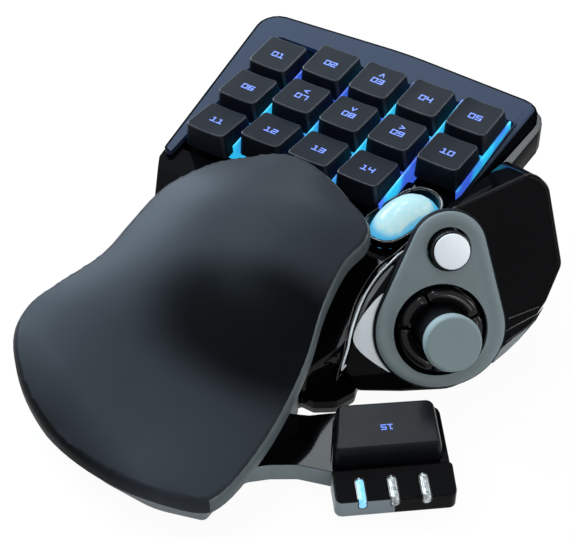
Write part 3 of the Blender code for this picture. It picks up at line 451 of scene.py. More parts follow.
def cap_height(spot, lean):
    """Height of the dished top at a place, on a cap that leans some degrees."""
    across = 2.0 * spot.x / CAP_TOP[0]
    return math.tan(math.radians(lean)) * spot.y - CAP_DISH * (1.0 - across * across)


def key_cap(lean):
    """Tapered cap with rounded corners and rim, hollow below, on its stem."""
    cap = bmesh.new()
    block(cap, (CAP_BASE, CAP_BASE, -CAP_SKIRT), (0.0, 0.0, CAP_SKIRT / 2))
    upper = [vert for vert in cap.verts if vert.co.z > -AT_LEVEL]
    bmesh.ops.scale(cap, vec=(CAP_TOP[0] / CAP_BASE, CAP_TOP[1] / CAP_BASE, 1.0), verts=upper)
    corners = [edge for edge in cap.edges if abs(edge.verts[0].co.z - edge.verts[1].co.z) > AT_LEVEL]
    # The faces that round the front right corner get the lighter edge finish, a painted highlight.
    for face in rounded_off(cap, corners, CAP_CORNER, 4):
        if face.normal.x > LIT_CORNER and face.normal.y < -LIT_CORNER:
            face.material_index = 1
    for x in DISH_CUTS:
        cut_across(cap, (x, 0.0, 0.0), (1.0, 0.0, 0.0))
    for vert in cap.verts:
        if vert.co.z > -AT_LEVEL:
            vert.co.z = cap_height(vert.co, lean)
    middles = {face: face.calc_center_median().z for face in cap.faces}
    tops = {face for face in cap.faces if face.normal.z > FACING and middles[face] > CAP_CEILING}
    rim = [edge for edge in cap.edges if len(tops.intersection(edge.link_faces)) == 1]
    # The rounded rim gets the lighter edge finish too, a painted highlight.
    for face in rounded_off(cap, rim, CAP_RIM):
        face.material_index = 1
    base = []
    for face in cap.faces:
        if face.normal.z < -FACING and face.calc_center_median().z < CAP_SKIRT + AT_LEVEL:
            base.append(face)
    bmesh.ops.inset_region(cap, faces=base, thickness=CAP_WALL, use_even_offset=True)
    hollow = bmesh.ops.extrude_face_region(cap, geom=base)["geom"]
    bmesh.ops.delete(cap, geom=base, context="FACES")
    ceiling = [part for part in hollow if isinstance(part, bmesh.types.BMVert)]
    bmesh.ops.translate(cap, vec=(0.0, 0.0, CAP_CEILING - CAP_SKIRT), verts=ceiling)
    block(cap, (STEM_SIZE, STEM_SIZE, STEM_HEAD - STEM_FOOT), (0.0, 0.0, (STEM_FOOT + STEM_HEAD) / 2))
    return cap


def key_place(number):
    """Where a key stands in the bank."""
    row, column = divmod(number - 1, KEYS_PER_ROW)
    drop = FIRST_COLUMN_DROP if column == 0 else 0.0
    x, y = (column - MIDDLE_COLUMN) * KEY_PITCH, (MIDDLE_ROW - row) * KEY_PITCH - drop
    return bank @ Matrix.Translation((x, y, 0.0))


key_black = finish("key_black", KEY_BLACK, 0.40, 0.08, 0.22, 0.006, 0.05)
painted_key_highlight = finish("painted_key_highlight", KEY_EDGE_HIGHLIGHT, 0.30, 0.08, 0.22, 0.004, 0.2)
for number in range(1, KEY_COUNT + 1):
    name = f"key_{number:02d}"
    cap = key_cap(ROW_LEAN[(number - 1) // KEYS_PER_ROW])
    show(cap, f"cap_{number:02d}", key_black, name, name, place=key_place(number), second=painted_key_highlight)

# Glow ribs: thin walls in the diffuser's lit finish that stand on it in the gaps
# between the keys, painted light that stands for the glow thrown up the key sides.
# Each has a column, its near and far ends and its top.
RIB_TOP = -4.4
SIDE_RIB_TOP = -6.5
RIB_FOOT = -12.0
RIB_WIDTH = 0.6
COLUMN_RIBS = (
    (-1.5, -28.6, 28.0, RIB_TOP), (-0.5, -28.0, 28.0, RIB_TOP), (0.5, -28.0, 28.0, RIB_TOP),
    (1.5, -28.0, 28.0, RIB_TOP), (2.45, -9.5, 28.0, SIDE_RIB_TOP),
)

painted_glow_ribs = bmesh.new()
for column, near, far, top in COLUMN_RIBS:
    size = (RIB_WIDTH, far - near, top - RIB_FOOT)
    block(painted_glow_ribs, size, (column * KEY_PITCH, (near + far) / 2, (top + RIB_FOOT) / 2))
show(painted_glow_ribs, "painted_glow_ribs", diffuser, "base", place=bank)

# Shade masks: black sheets laid on the diffuser under the front half of the keys that
# stand at the front of each column, a painted shade that keeps the front of the well
# dark. Each has a middle, a near end and a width.
MASKS = (
    (-38.2, -33.5, 18.6), (-19.0, -28.9, 17.0), (0.0, -28.9, 17.0), (19.0, -28.9, 17.0),
    (38.3, -9.9, 18.8),
)
MASK_REACH = 6.6
MASK_LAYER = (-13.38, -13.1)

painted_shade_masks = bmesh.new()
for middle, near, width in MASKS:
    size = (width, MASK_REACH, MASK_LAYER[1] - MASK_LAYER[0])
    block(painted_shade_masks, size, (middle, near + MASK_REACH / 2, sum(MASK_LAYER) / 2))
show(painted_shade_masks, "painted_shade_masks", dull_black_and_shade, "base", place=bank)

# Key legends: plain squared numbers that the light under the caps shines through,
# laid just proud of the dished tops. Four keys also carry a direction mark.
LEGEND_BLUE = (0.07, 0.15, 0.80, 1.0)
LEGEND_CORE = (0.20, 0.36, 0.95, 1.0)
LEGEND_BODY = (0.02, 0.04, 0.2, 1.0)
LEGEND_STRENGTH = 1.0
LEGEND_CLOUDS = (1500.0, 1.0)
LEGEND_GLOSS = (0.35, 0.6)
LEGEND_SPOT = (0.2, -0.3)
LEGEND_PROUD = 0.02
DIGIT_WIDTH = 1.75
DIGIT_HEIGHT = 2.1
DIGIT_PITCH = 2.55
STROKE = 0.44
STROKE_DEPTH = 0.12
BAR_ENDS = {
    "a": ((-1, 1), (1, 1)), "b": ((1, 0), (1, 1)), "c": ((1, -1), (1, 0)), "d": ((-1, -1), (1, -1)),
    "e": ((-1, -1), (-1, 0)), "f": ((-1, 0), (-1, 1)), "g": ((-1, 0), (1, 0)),
    "p": ((-0.7, 1), (0, 1)), "s": ((0, -1), (0, 1)),
}
BARS = {
    "0": "abcdef", "1": "psd", "2": "abged", "3": "abgcd", "4": "fgbc", "5": "afgcd",
    "6": "afgedc", "7": "abc", "8": "abcdefg", "9": "abcdfg",
}
MARKS = {3: 0.0, 7: 90.0, 8: 180.0, 9: -90.0}
MARK_RISE = 3.4
MARK_POINT = (0.0, 0.8)
MARK_FOOT = (0.75, -0.7)


def stroke(shape, start, end, spot):
    """Adds one straight stroke with square ends, moved to a spot."""
    start, end = Vector(start), Vector(end)
    length = (end - start).length + STROKE
    verts = block(shape, (length, STROKE, STROKE_DEPTH), (0.0, 0.0, 0.0))
    angle = math.atan2(end.y - start.y, end.x - start.x)
    middle = (start + end) / 2 + Vector(spot)
    bmesh.ops.rotate(shape, matrix=Matrix.Rotation(angle, 3, "Z"), verts=verts)
    bmesh.ops.translate(shape, vec=(middle.x, middle.y, 0.0), verts=verts)


def legend_shape(number, mark=None):
    """Two digits, with an arrowhead above them that is turned some degrees."""
    legend = bmesh.new()
    for index, digit in enumerate(f"{number:02d}"):
        for bar in BARS[digit]:
            ends = [(x * DIGIT_WIDTH / 2, y * DIGIT_HEIGHT / 2) for x, y in BAR_ENDS[bar]]
            stroke(legend, *ends, ((index - 0.5) * DIGIT_PITCH, 0.0))
    if mark is not None:
        pointed = Matrix.Rotation(math.radians(mark), 2)
        for side in (-1, 1):
            foot = pointed @ Vector((side * MARK_FOOT[0], MARK_FOOT[1]))
            stroke(legend, foot, pointed @ Vector(MARK_POINT), (0.0, MARK_RISE))
    return legend


legend_light = lit_finish("legend_light", (LEGEND_BLUE, LEGEND_CORE), LEGEND_STRENGTH, LEGEND_CLOUDS,
                          LEGEND_GLOSS, LEGEND_BODY)
for number in range(1, KEY_COUNT + 1):
    legend = legend_shape(number, MARKS.get(number))
    for vert in legend.verts:
        vert.co.x += LEGEND_SPOT[0]
        vert.co.y += LEGEND_SPOT[1]
        vert.co.z += cap_height(vert.co, ROW_LEAN[(number - 1) // KEYS_PER_ROW]) + LEGEND_PROUD
    show(legend, f"legend_{number:02d}", legend_light, f"key_{number:02d}", place=key_place(number))

# Scroll wheel: a clear moulded wheel lit from inside, paler in the middle of its
# width, in a polished oval collar that is pressed into the body.
WHEEL_MIDDLE = (0.0186, 0.02858, 0.03075)
WHEEL_AXIS = (0.93969, -0.33826, -0.05055)
BANK_NORMAL = (0.0, -0.14781, 0.98902)
WHEEL_SPOT = (36.6, -26.5)
WHEEL_TURN = -20.0
COLLAR_SIZE = (28.2, 15.2)
COLLAR_LEVEL = -6.55
COLLAR_BEAD = 0.45
EDGE_BLACK = ((0.004, 0.004, 0.005, 1.0), (0.007, 0.007, 0.008, 1.0))
WHEEL_EDGE = (0.06, 0.44, 0.76, 1.0)
WHEEL_PALE = (0.56, 0.75, 0.74, 1.0)
WHEEL_MOTTLE = (0.36, 0.68, 0.74, 1.0)
WHEEL_BODY = (0.08, 0.16, 0.20, 1.0)
WHEEL_STRENGTH = 0.85
WHEEL_SPECULAR = 0.15
WHEEL_GLOSS = (0.12, 0.30)
WHEEL_CLOUDS = (520.0, 3.0)
MOTTLE_SPREAD = (0.30, 0.85)
BLUE_ASIDE = (0.0053, 0.0062)
BLUE_BELOW = (0.0102, 0.0082)


def vector_maths(tree, operation, *values):
    """Output of a vector maths node fed with outputs or plain vectors."""
    node = tree.nodes.new("ShaderNodeVectorMath")
    node.operation = operation
    for value, socket in zip(values, node.inputs):
        connect(tree, value, socket)
    return node.outputs["Value" if operation == "DOT_PRODUCT" else "Vector"]


def edge_loop(shape, points):
    """Adds a closed line through the points and returns its edges."""
    verts = [shape.verts.new(point) for point in points]
    return [shape.edges.new((verts[k - 1], verts[k])) for k in range(len(verts))]


def ring_loft(shape, rings, closed=False):
    """Adds a skin through rings of the same number of points, with capped ends unless closed."""
    loops = [edge_loop(shape, ring) for ring in rings]
    following = loops[1:] + (loops[:1] if closed else [])
    for first, second in zip(loops, following):
        bmesh.ops.bridge_loops(shape, edges=first + second)
    if not closed:
        bmesh.ops.edgeloop_fill(shape, edges=loops[0])
        bmesh.ops.edgeloop_fill(shape, edges=loops[-1])
    bmesh.ops.recalc_face_normals(shape, faces=shape.faces)


def bead(shape, line, radius, closed=False, sides=8):
    """Adds a round bead that follows a line of points."""
    rings = []
    last = len(line) - 1
    turns = [math.tau * side / sides for side in range(sides)]
    for index, spot in enumerate(line):
        ahead = line[(index + 1) % len(line)] if closed or index < last else line[last]
        behind = line[index - 1] if closed or index > 0 else line[0]
        along_line = (ahead - behind).normalized()
        across = along_line.cross(Vector((0.0, 0.0, 1.0))).normalized()
        up = across.cross(along_line)
        rings.append([spot + radius * (math.cos(t) * across + math.sin(t) * up) for t in turns])
    ring_loft(shape, rings, closed)


def slot_line(length, width, level, steps=12):
    """Line round a slot with round ends that is long along Y."""
    radius = width / 2
    line = []
    for end in (1, -1):
        middle = end * (length / 2 - radius)
        for step in range(steps + 1):
            angle = math.pi * step / steps + (0.0 if end > 0 else math.pi)
            line.append(Vector((radius * math.cos(angle), middle + radius * math.sin(angle), level)))
    return line


edge_gloss = finish("edge_gloss", EDGE_BLACK, 0.12, 0.04, 0.5, 0.002)
wheel_glow, tree, shader = new_material("wheel_glow")
place = tree.nodes.new("ShaderNodeTexCoord").outputs["Object"]
from_middle = vector_maths(tree, "SUBTRACT", place, WHEEL_MIDDLE)
aside = maths(tree, "ABSOLUTE", vector_maths(tree, "DOT_PRODUCT", from_middle, WHEEL_AXIS))
risen = vector_maths(tree, "DOT_PRODUCT", from_middle, BANK_NORMAL)
rim_share = maths(tree, "MAXIMUM", mapped(tree, aside, *BLUE_ASIDE), mapped(tree, risen, *BLUE_BELOW))
clouds = noise_of(tree, *WHEEL_CLOUDS)
middle = blended(tree, mapped(tree, clouds, *MOTTLE_SPREAD), WHEEL_PALE, WHEEL_MOTTLE)
tree.links.new(blended(tree, rim_share, middle, WHEEL_EDGE), shader.inputs["Emission Color"])
tree.links.new(mapped(tree, clouds, 0.0, 1.0, *WHEEL_GLOSS), shader.inputs["Roughness"])
shader.inputs["Emission Strength"].default_value = WHEEL_STRENGTH
shader.inputs["Specular IOR Level"].default_value = WHEEL_SPECULAR
shader.inputs["Base Color"].default_value = WHEEL_BODY
show(copied("scroll_wheel"), "wheel_body", wheel_glow, "scroll_wheel", "scroll_wheel", smooth=50.0)
show(copied("wheel_surround"), "wheel_collar", gloss_black, "base", "wheel_surround")
collar_lip = bmesh.new()
bead(collar_lip, slot_line(*COLLAR_SIZE, COLLAR_LEVEL), COLLAR_BEAD, closed=True)
wheel_spot = bank @ Matrix.Translation((*WHEEL_SPOT, 0.0)) @ turn(WHEEL_TURN, "Z")
show(collar_lip, "wheel_collar_lip", edge_gloss, "base", smooth=60.0, place=wheel_spot)

# Thumb pod: a polished black housing screwed to the body's side. A pale crescent laid
# on its face beside the soft teardrop plate is a painted reflection.
THUMB_CENTRE = (47.4, 2.9, 22.6)
THUMB_AZIMUTH = 42.0
THUMB_ELEVATION = 30.0
PALE_REFLECTION = ((0.60, 0.65, 0.69, 1.0), (0.68, 0.72, 0.75, 1.0))
CRESCENT = (
    (-16.6, 13.0), (-18.6, 12.4), (-21.2, 10.0), (-23.9, 7.0), (-26.2, 3.6), (-27.4, 0.4), (-27.2, -1.8),
    (-25.4, -4.7), (-22.1, -8.0), (-18.4, -11.0), (-16.4, -12.0), (-18.6, -7.0), (-19.8, 0.0), (-18.8, 6.0),
)
CRESCENT_STEPS = 4
CRESCENT_LAYER = (-3.0, -2.52)


def flowing(points, steps):
    """Closed smooth curve through the points, by the Catmull-Rom rule."""
    knots = [Vector(point) for point in points]
    curve = []
    for index, knot in enumerate(knots):
        before = knots[index - 1]
        after = knots[(index + 1) % len(knots)]
        later = knots[(index + 2) % len(knots)]
        bend = 2 * before - 5 * knot + 4 * after - later
        twist = 3 * knot - before - 3 * after + later
        for step in range(steps):
            t = step / steps
            curve.append(knot + 0.5 * ((after - before) * t + (bend * t * t + twist * t ** 3)))
    return curve


thumb = Matrix.Translation(THUMB_CENTRE) @ turn(THUMB_AZIMUTH, "Z") @ turn(90.0 - THUMB_ELEVATION, "X")
show(copied("thumb_housing"), "thumb_pod", gloss_black, "base", "thumb_housing", smooth=40.0)
painted_pale_reflection = finish("painted_pale_reflection", PALE_REFLECTION, 0.22, 0.06, 0.3, 0.004)
# The crescent: a thin pale layer, a painted reflection.
crescent = bmesh.new()
crescent_line = flowing(CRESCENT, CRESCENT_STEPS)
ring_loft(crescent, [[(point.x, point.y, level) for point in crescent_line] for level in CRESCENT_LAYER])
show(crescent, "pod_crescent", painted_pale_reflection, "base", place=thumb)

# Rolled edge of the pod: two beads run down beside it from the wheel to the desk side,
# the outer one polished black and the inner one pale, a painted highlight. Three fine
# ribs cross its lower right, over a pale grey panel, a painted reflection of the floor.
OUTER_BEAD = (
    (26.6, 20.0, 36.2), (23.6, 14.0, 35.0), (21.4, 8.0, 33.6), (20.8, 3.0, 32.0), (21.0, -2.1, 30.3),
    (21.7, -7.0, 28.6), (22.9, -11.4, 27.0), (24.4, -16.0, 25.2), (25.9, -20.0, 20.0), (26.4, -22.0, 13.0),
)
INNER_BEAD = (
    (26.4, 14.0, 35.2), (23.7, 8.0, 33.7), (22.9, 3.0, 32.0), (22.9, -2.1, 30.3), (23.5, -7.0, 28.6),
    (24.5, -11.4, 27.0), (25.6, -15.4, 25.4), (26.6, -18.6, 22.0), (27.0, -20.6, 16.0),
)
OUTER_RADIUS = 0.30
INNER_RADIUS = 0.38
BEAD_STEPS = 4
POD_FACE = -2.7
RIBS = (((22.4, 1.0), (32.4, 3.8)), ((21.3, -2.9), (31.2, 1.3)), ((20.9, -6.5), (28.6, -2.2)))
RIB_RADIUS = 0.22
PANEL_REFLECTION_GREY = ((0.13, 0.155, 0.165, 1.0), (0.22, 0.25, 0.26, 1.0))
LOWER_PANEL = (
    (19.6, -8.4), (24.0, -5.2), (28.0, -2.8), (31.2, -0.4), (33.8, 3.6), (31.4, 0.6), (28.6, -3.0),
    (25.2, -6.4), (21.0, -9.8), (16.4, -13.0), (17.6, -11.0),
)
LOWER_LAYER = (-3.0, -2.6)


def bead_piece(name, points, radius, material):
    """A bead along a smooth line from the first point to the last."""
    line = flowing(points, BEAD_STEPS)[:(len(points) - 1) * BEAD_STEPS + 1]
    made = bmesh.new()
    bead(made, line, radius)
    show(made, name, material, "base", smooth=60.0)


bead_piece("pod_outer_bead", OUTER_BEAD, OUTER_RADIUS, edge_gloss)
# The inner bead is pale, a painted highlight.
bead_piece("pod_inner_bead", INNER_BEAD, INNER_RADIUS, painted_pale_reflection)
ribs = bmesh.new()
for start, end in RIBS:
    bead(ribs, [Vector((*start, POD_FACE)), Vector((*end, POD_FACE))], RIB_RADIUS)
show(ribs, "pod_ribs", edge_gloss, "base", smooth=60.0, place=thumb)
# The lower panel is pale grey, a painted reflection of the floor.
painted_floor_reflection = finish("painted_floor_reflection", PANEL_REFLECTION_GREY, 0.3, 0.08, 0.4, 0.005)
lower_panel = bmesh.new()
ring_loft(lower_panel, [[(x, y, level) for x, y in LOWER_PANEL] for level in LOWER_LAYER])
show(lower_panel, "pod_lower_panel", painted_floor_reflection, "base", place=thumb)

# Thumb plate: the teardrop face of the pod, soft grey rubber moulded over plastic.
# Its dark outer wall rolls over to a shallow dish with holes for stick and button.
PLATE_RADIUS = 21.3
PLATE_TIP = (4.0, 25.6)
PLATE_TIP_RADIUS = 12.6
PLATE_FLATTENED = 0.885
PLATE_UNDERSIDE = -2.4
PLATE_STEPS = ((0.0, -1.7), (0.7, -0.8), (1.2, -0.3), (1.9, 0.0), (3.0, -0.02), (4.2, -0.35), (5.0, -0.45))
DARK_STEPS = 2
PLATE_HOLES = (((0.0, 0.0), 15.0), (PLATE_TIP, 7.0))
ON_HOLE = 0.3
PLATE_GREY = ((0.140, 0.178, 0.190, 1.0), (0.158, 0.198, 0.210, 1.0))
DARK_RUBBER = ((0.006, 0.007, 0.009, 1.0), (0.010, 0.011, 0.013, 1.0))


def teardrop(radius, tip, tip_radius, steps=40):
    """Outline round a large circle at the centre, flattened below, and a small one at the tip."""
    axis = math.atan2(tip[1], tip[0])
    lean = math.acos((radius - tip_radius) / math.hypot(*tip))
    outline = []
    for step in range(steps + 1):
        angle = axis + lean + (math.tau - 2 * lean) * step / steps
        flat = PLATE_FLATTENED if math.sin(angle) < 0.0 else 1.0
        outline.append(Vector((radius * math.cos(angle), flat * radius * math.sin(angle))))
    for step in range(steps // 2 + 1):
        angle = axis - lean + 4 * lean * step / steps
        outline.append(Vector(tip) + tip_radius * Vector((math.cos(angle), math.sin(angle))))
    return outline


def hole_line(middle, radius, steps=48):
    """Points round a circle."""
    turns = [math.tau * step / steps for step in range(steps)]
    return [Vector((middle[0] + radius * math.cos(t), middle[1] + radius * math.sin(t))) for t in turns]


def near_hole(edge, middle, radius):
    """Whether an edge lies on the wall of a hole."""
    spot = (edge.verts[0].co + edge.verts[1].co) / 2
    return abs(math.hypot(spot.x - middle[0], spot.y - middle[1]) - radius) < ON_HOLE


def thumb_face_shape():
    """Teardrop plate with a rolled rim, a shallow dish inside it and two holes."""
    plate = bmesh.new()
    loops = []
    for narrowed, level in ((0.0, PLATE_UNDERSIDE), *PLATE_STEPS):
        line = teardrop(PLATE_RADIUS - narrowed, PLATE_TIP, PLATE_TIP_RADIUS - narrowed)
        loops.append(edge_loop(plate, [(point.x, point.y, level) for point in line]))
    for step, (first, second) in enumerate(zip(loops, loops[1:])):
        for side in bmesh.ops.bridge_loops(plate, edges=first + second)["faces"]:
            side.material_index = 1 if step < DARK_STEPS else 0
    dish = PLATE_STEPS[-1][1]
    for level, outline in ((dish, loops[-1]), (PLATE_UNDERSIDE, loops[0])):
        edges = list(outline)
        for middle, radius in PLATE_HOLES:
            edges += edge_loop(plate, [(point.x, point.y, level) for point in hole_line(middle, radius)])
        bmesh.ops.triangle_fill(plate, use_beauty=True, use_dissolve=False, edges=edges)
    loose = [edge for edge in plate.edges if len(edge.link_faces) == 1]
    for hole in PLATE_HOLES:
        bmesh.ops.bridge_loops(plate, edges=[edge for edge in loose if near_hole(edge, *hole)])
    bmesh.ops.recalc_face_normals(plate, faces=plate.faces)
    return plate


plate_grey = finish("thumb_rubber", PLATE_GREY, 0.60, 0.08, 0.3, 0.012, 0.35)
dark_rubber = finish("dark_rubber", DARK_RUBBER, 0.55, 0.1, 0.3, 0.008, 0.04)
show(thumb_face_shape(), "thumb_face", plate_grey, "base", "thumb_plate", smooth=50.0, place=thumb,
     second=dark_rubber)

# Thumb stick: a grey rubber cap, pressed on a black waisted stem that stands on the
# gimbal inside the pod.
STICK_GREY = ((0.158, 0.208, 0.216, 1.0), (0.178, 0.230, 0.238, 1.0))
STICK_CAP_LEVEL = 11.6

stick_grey = finish("stick_rubber", STICK_GREY, 0.68, 0.08, 0.3, 0.010, 0.25)
stick = copied("thumb_stick", thumb)
for face in stick.faces:
    if face.calc_center_median().z < STICK_CAP_LEVEL:
        face.material_index = 1
show(stick, "stick_cap", stick_grey, "thumb_stick", "thumb_stick", smooth=50.0, place=thumb,
     second=dark_rubber)

# Eight-way ring: a polished black ring round the foot of the stick, which rocks with
# it. Its crown is split into four domed segments, made over the solid ring.
RING_OUTER = 13.6
RING_INNER = 8.6
RING_TOP = 1.2
RING_FLOOR = -2.2
RING_LEDGE = 0.2
RING_HOLLOW = 9.4
RING_WELD = 0.01
RING_GAPS = (19.0, 110.0, 169.0, 254.0)
RING_GAP = 2.4
RING_STEP = 5.0
DOME_STEP = 12
DOME_POWER = 0.6
SEGMENT_ENDS = (0.82, 0.95)
RING_BLACK = ((0.003, 0.003, 0.004, 1.0), (0.005, 0.005, 0.006, 1.0))

ring = copied("dpad_ring", thumb)
for vert in ring.verts:
    if math.hypot(vert.co.x, vert.co.y) > RING_HOLLOW:
        vert.co.z = min(vert.co.z, RING_FLOOR + RING_LEDGE)
bmesh.ops.remove_doubles(ring, verts=ring.verts, dist=RING_WELD)
show(ring, "eight_way_ring", gloss_black, "thumb_stick", "dpad_ring", smooth=50.0, place=thumb)


def ring_section(angle, share):
    """Domed section of the crown at an angle, drawn in at the ends of a segment."""
    middle = (RING_OUTER + RING_INNER) / 2
    half = (RING_OUTER - RING_INNER) / 2 * share
    crown = (RING_TOP - RING_FLOOR) * share
    points = [(middle + half, RING_FLOOR)]
    for degrees in range(DOME_STEP, 180, DOME_STEP):
        t = math.radians(degrees)
        points.append((middle + half * math.cos(t), RING_FLOOR + crown * math.sin(t) ** DOME_POWER))
    points.append((middle - half, RING_FLOOR))
    return [Vector((radius * math.cos(angle), radius * math.sin(angle), level)) for radius, level in points]


segments = bmesh.new()
for first, last in zip(RING_GAPS, RING_GAPS[1:] + (RING_GAPS[0] + 360.0,)):
    count = int((last - first) / RING_STEP)
    start, end = first + RING_GAP, last - RING_GAP
    sections = []
    for step in range(count + 1):
        from_end = min(step, count - step)
        share = SEGMENT_ENDS[from_end] if from_end < len(SEGMENT_ENDS) else 1.0
        sections.append(ring_section(math.radians(start + (end - start) * step / count), share))
    ring_loft(segments, sections)
ring_gloss = finish("ring_gloss", RING_BLACK, 0.18, 0.05, 0.6, 0.003, 0.20)
show(segments, "ring_segments", ring_gloss, "thumb_stick", smooth=50.0, place=thumb)

# Thumb button: a silver lacquered disc let into a polished black collar, which slides
# in the upper hole of the plate.
SILVER = ((0.66, 0.71, 0.75, 1.0), (0.74, 0.79, 0.82, 1.0))

silver = finish("silver_lacquer", SILVER, 0.3, 0.08, 0.2, 0.004, 0.6)
show(copied("thumb_button"), "button_collar", ring_gloss, "thumb_button", "thumb_button", smooth=50.0)
show(copied("thumb_button_disc"), "button_face", silver, "thumb_button", "thumb_button_disc", smooth=50.0)

# Status lights: a polished black block whose upright walls, as far as a line across the
# front, are drawn grey, a painted reflection, and three clear light pipes with round ends
# let into it, the first lit. Each pipe lies in a bright rim on a dark bed, and all three
# run up the front wall and over on to the top.
PADDLE_ORIGIN = (51.35, -62.1, 0.0)
PADDLE_TURN = 39.5
WALL_REFLECTION_GREY = ((0.125, 0.155, 0.170, 1.0), (0.150, 0.185, 0.200, 1.0))
WALL_SPLIT = 16.1
UPRIGHT = 0.5
CLEAR = ((0.05, 0.06, 0.06, 1.0), (0.62, 0.66, 0.66, 1.0))
BRIGHT = ((0.16, 0.18, 0.19, 1.0), (0.60, 0.63, 0.63, 1.0))
LENS_BLUE = (0.10, 0.45, 0.85, 1.0)
LENS_CYAN = (0.30, 0.70, 0.95, 1.0)
LENS_BODY = (0.1, 0.3, 0.5, 1.0)
LENS_STRENGTH = 0.75
LENS_CLOUDS = (700.0, 2.0)
LENS_GLOSS = (0.10, 0.25)
LENS_SPOTS = (6.5, 16.1, 25.5)
LENS_HALF = 0.72
LENS_SKIN = ((-0.26, 5.4), (-0.26, 6.9), (0.6, 7.95), (7.3, 8.74))
LENS_CORE = ((1.0, 5.4), (1.0, 6.0), (1.5, 6.6), (7.6, 7.4))
RIM_HALF = 1.08
RIM_SKIN = ((-0.18, 5.0), (-0.18, 6.9), (0.6, 7.85), (7.7, 8.68))
RIM_CORE = ((0.8, 5.0), (0.8, 6.4), (1.3, 6.9), (7.4, 7.8))
BED_HALF = 1.45
BED_SKIN = ((-0.10, 4.6), (-0.10, 6.9), (0.6, 7.74), (8.4, 8.62))
BED_CORE = ((0.7, 5.0), (0.7, 6.4), (1.2, 6.9), (8.1, 7.8))
PIPE_PARTS = 24
PIPE_END_PARTS = 4
PIPE_CROWN = (0.5, -0.06, 0.10)


def walls_of(shape):
    """Gives the faces that stand upright the second material."""
    for face in shape.faces:
        if abs(face.normal.z) < UPRIGHT:
            face.material_index = 1
    return shape


def bent(path, reach):
    """Point at a distance along a path in the plane of depth and height."""
    for first, second in zip(path, path[1:]):
        first, second = Vector(first), Vector(second)
        length = (second - first).length
        if reach <= length:
            return first.lerp(second, reach / length)
        reach -= length
    return Vector(path[-1])


def path_length(path):
    """Length of a path of straight parts."""
    return sum((Vector(second) - Vector(first)).length for first, second in zip(path, path[1:]))


def light_pipe(x, half_width, skin, core, steps=8):
    """Slot with round ends that runs up the block's front wall and over on to its top."""
    outer, inner = path_length(skin), path_length(core)
    turns = [math.pi / 2 * step / steps for step in range(1, steps + 1)]
    low = [(half_width * (1 - math.cos(t)), half_width * math.sin(t)) for t in turns]
    high = [(outer - reach, width) for reach, width in reversed(low)]
    straight = range(PIPE_END_PARTS, PIPE_PARTS - PIPE_END_PARTS)
    places = low + [(outer * part / PIPE_PARTS, half_width) for part in straight] + high
    narrower, forward, raised = PIPE_CROWN
    rings = []
    for reach, width in places:
        near, deep = bent(skin, reach), bent(core, reach * inner / outer)
        crown = width * narrower
        rings.append([
            Vector((x - width, deep.x, deep.y)), Vector((x + width, deep.x, deep.y)),
            Vector((x + width, near.x, near.y)), Vector((x + crown, near.x + forward, near.y + raised)),
            Vector((x - crown, near.x + forward, near.y + raised)), Vector((x - width, near.x, near.y)),
        ])
    pipe = bmesh.new()
    ring_loft(pipe, rings)
    return pipe


wall_reflection_paint = finish("painted_wall_reflection", WALL_REFLECTION_GREY, 0.38, 0.08, 0.3, 0.006, 0.3)
lens_clear = finish("clear_lens", CLEAR, 0.12, 0.05, 0.5, 0.02, 0.6, 900.0)
lens_lit = lit_finish("lit_lens", (LENS_BLUE, LENS_CYAN), LENS_STRENGTH, LENS_CLOUDS, LENS_GLOSS, LENS_BODY)
bright_rim = finish("bright_rim", BRIGHT, 0.15, 0.06, 0.4, 0.01, 0.6, 700.0)
paddle = Matrix.Translation(PADDLE_ORIGIN) @ turn(PADDLE_TURN, "Z")
light_block = copied("status_light_cover", paddle)
# Upright walls left of the split are grey, a painted reflection; right of it the block stays black.
cut_across(light_block, (WALL_SPLIT, 0.0, 0.0), (1.0, 0.0, 0.0))
walls_of(light_block)
for face in light_block.faces:
    if face.calc_center_median().x > WALL_SPLIT:
        face.material_index = 0
show(light_block, "light_block", gloss_black, "base", "status_light_cover", place=paddle, second=wall_reflection_paint)
for number, lens, trim in ((1, lens_lit, lens_lit), (2, lens_clear, bright_rim), (3, lens_clear, bright_rim)):
    spot = LENS_SPOTS[number - 1]
    pipe = light_pipe(spot, LENS_HALF, LENS_SKIN, LENS_CORE)
    show(pipe, f"light_pipe_{number}", lens, "base", f"status_lens_{number}", place=paddle)
    rim = light_pipe(spot, RIM_HALF, RIM_SKIN, RIM_CORE)
    show(rim, f"light_pipe_rim_{number}", trim, "base", place=paddle)
    bed = light_pipe(spot, BED_HALF, BED_SKIN, BED_CORE)
    show(bed, f"light_pipe_bed_{number}", edge_gloss, "base", place=paddle)

# Thumb key and its arm: the long key sits in a tray at the end of a low arm with a
# polished top. Its number faces the thumb, so it stands upside down in the photograph.
THUMB_LEGEND = (16.7, 22.0, 14.6)
THUMB_NUMBER = 15
THUMB_KEY_BLACK = ((0.0032, 0.0040, 0.0055, 1.0), (0.0042, 0.0052, 0.0068, 1.0))
THUMB_LEGEND_SCALE = (0.78, 0.85, 1.0)

thumb_key_black = finish("thumb_key_black", THUMB_KEY_BLACK, 0.34, 0.06, 0.22, 0.005, 0.07)
# The arm's upright walls are grey too, a painted reflection.
show(walls_of(copied("thumb_key_arm")), "key_arm", gloss_black, "base", "thumb_key_arm", second=wall_reflection_paint)
show(copied("space_key"), "thumb_key_cap", thumb_key_black, "space_key", "space_key")
thumb_legend = legend_shape(THUMB_NUMBER)
bmesh.ops.scale(thumb_legend, vec=THUMB_LEGEND_SCALE, verts=thumb_legend.verts)
show(thumb_legend, "legend_15", legend_light, "space_key",
     place=paddle @ Matrix.Translation(THUMB_LEGEND) @ turn(180.0, "Z"))

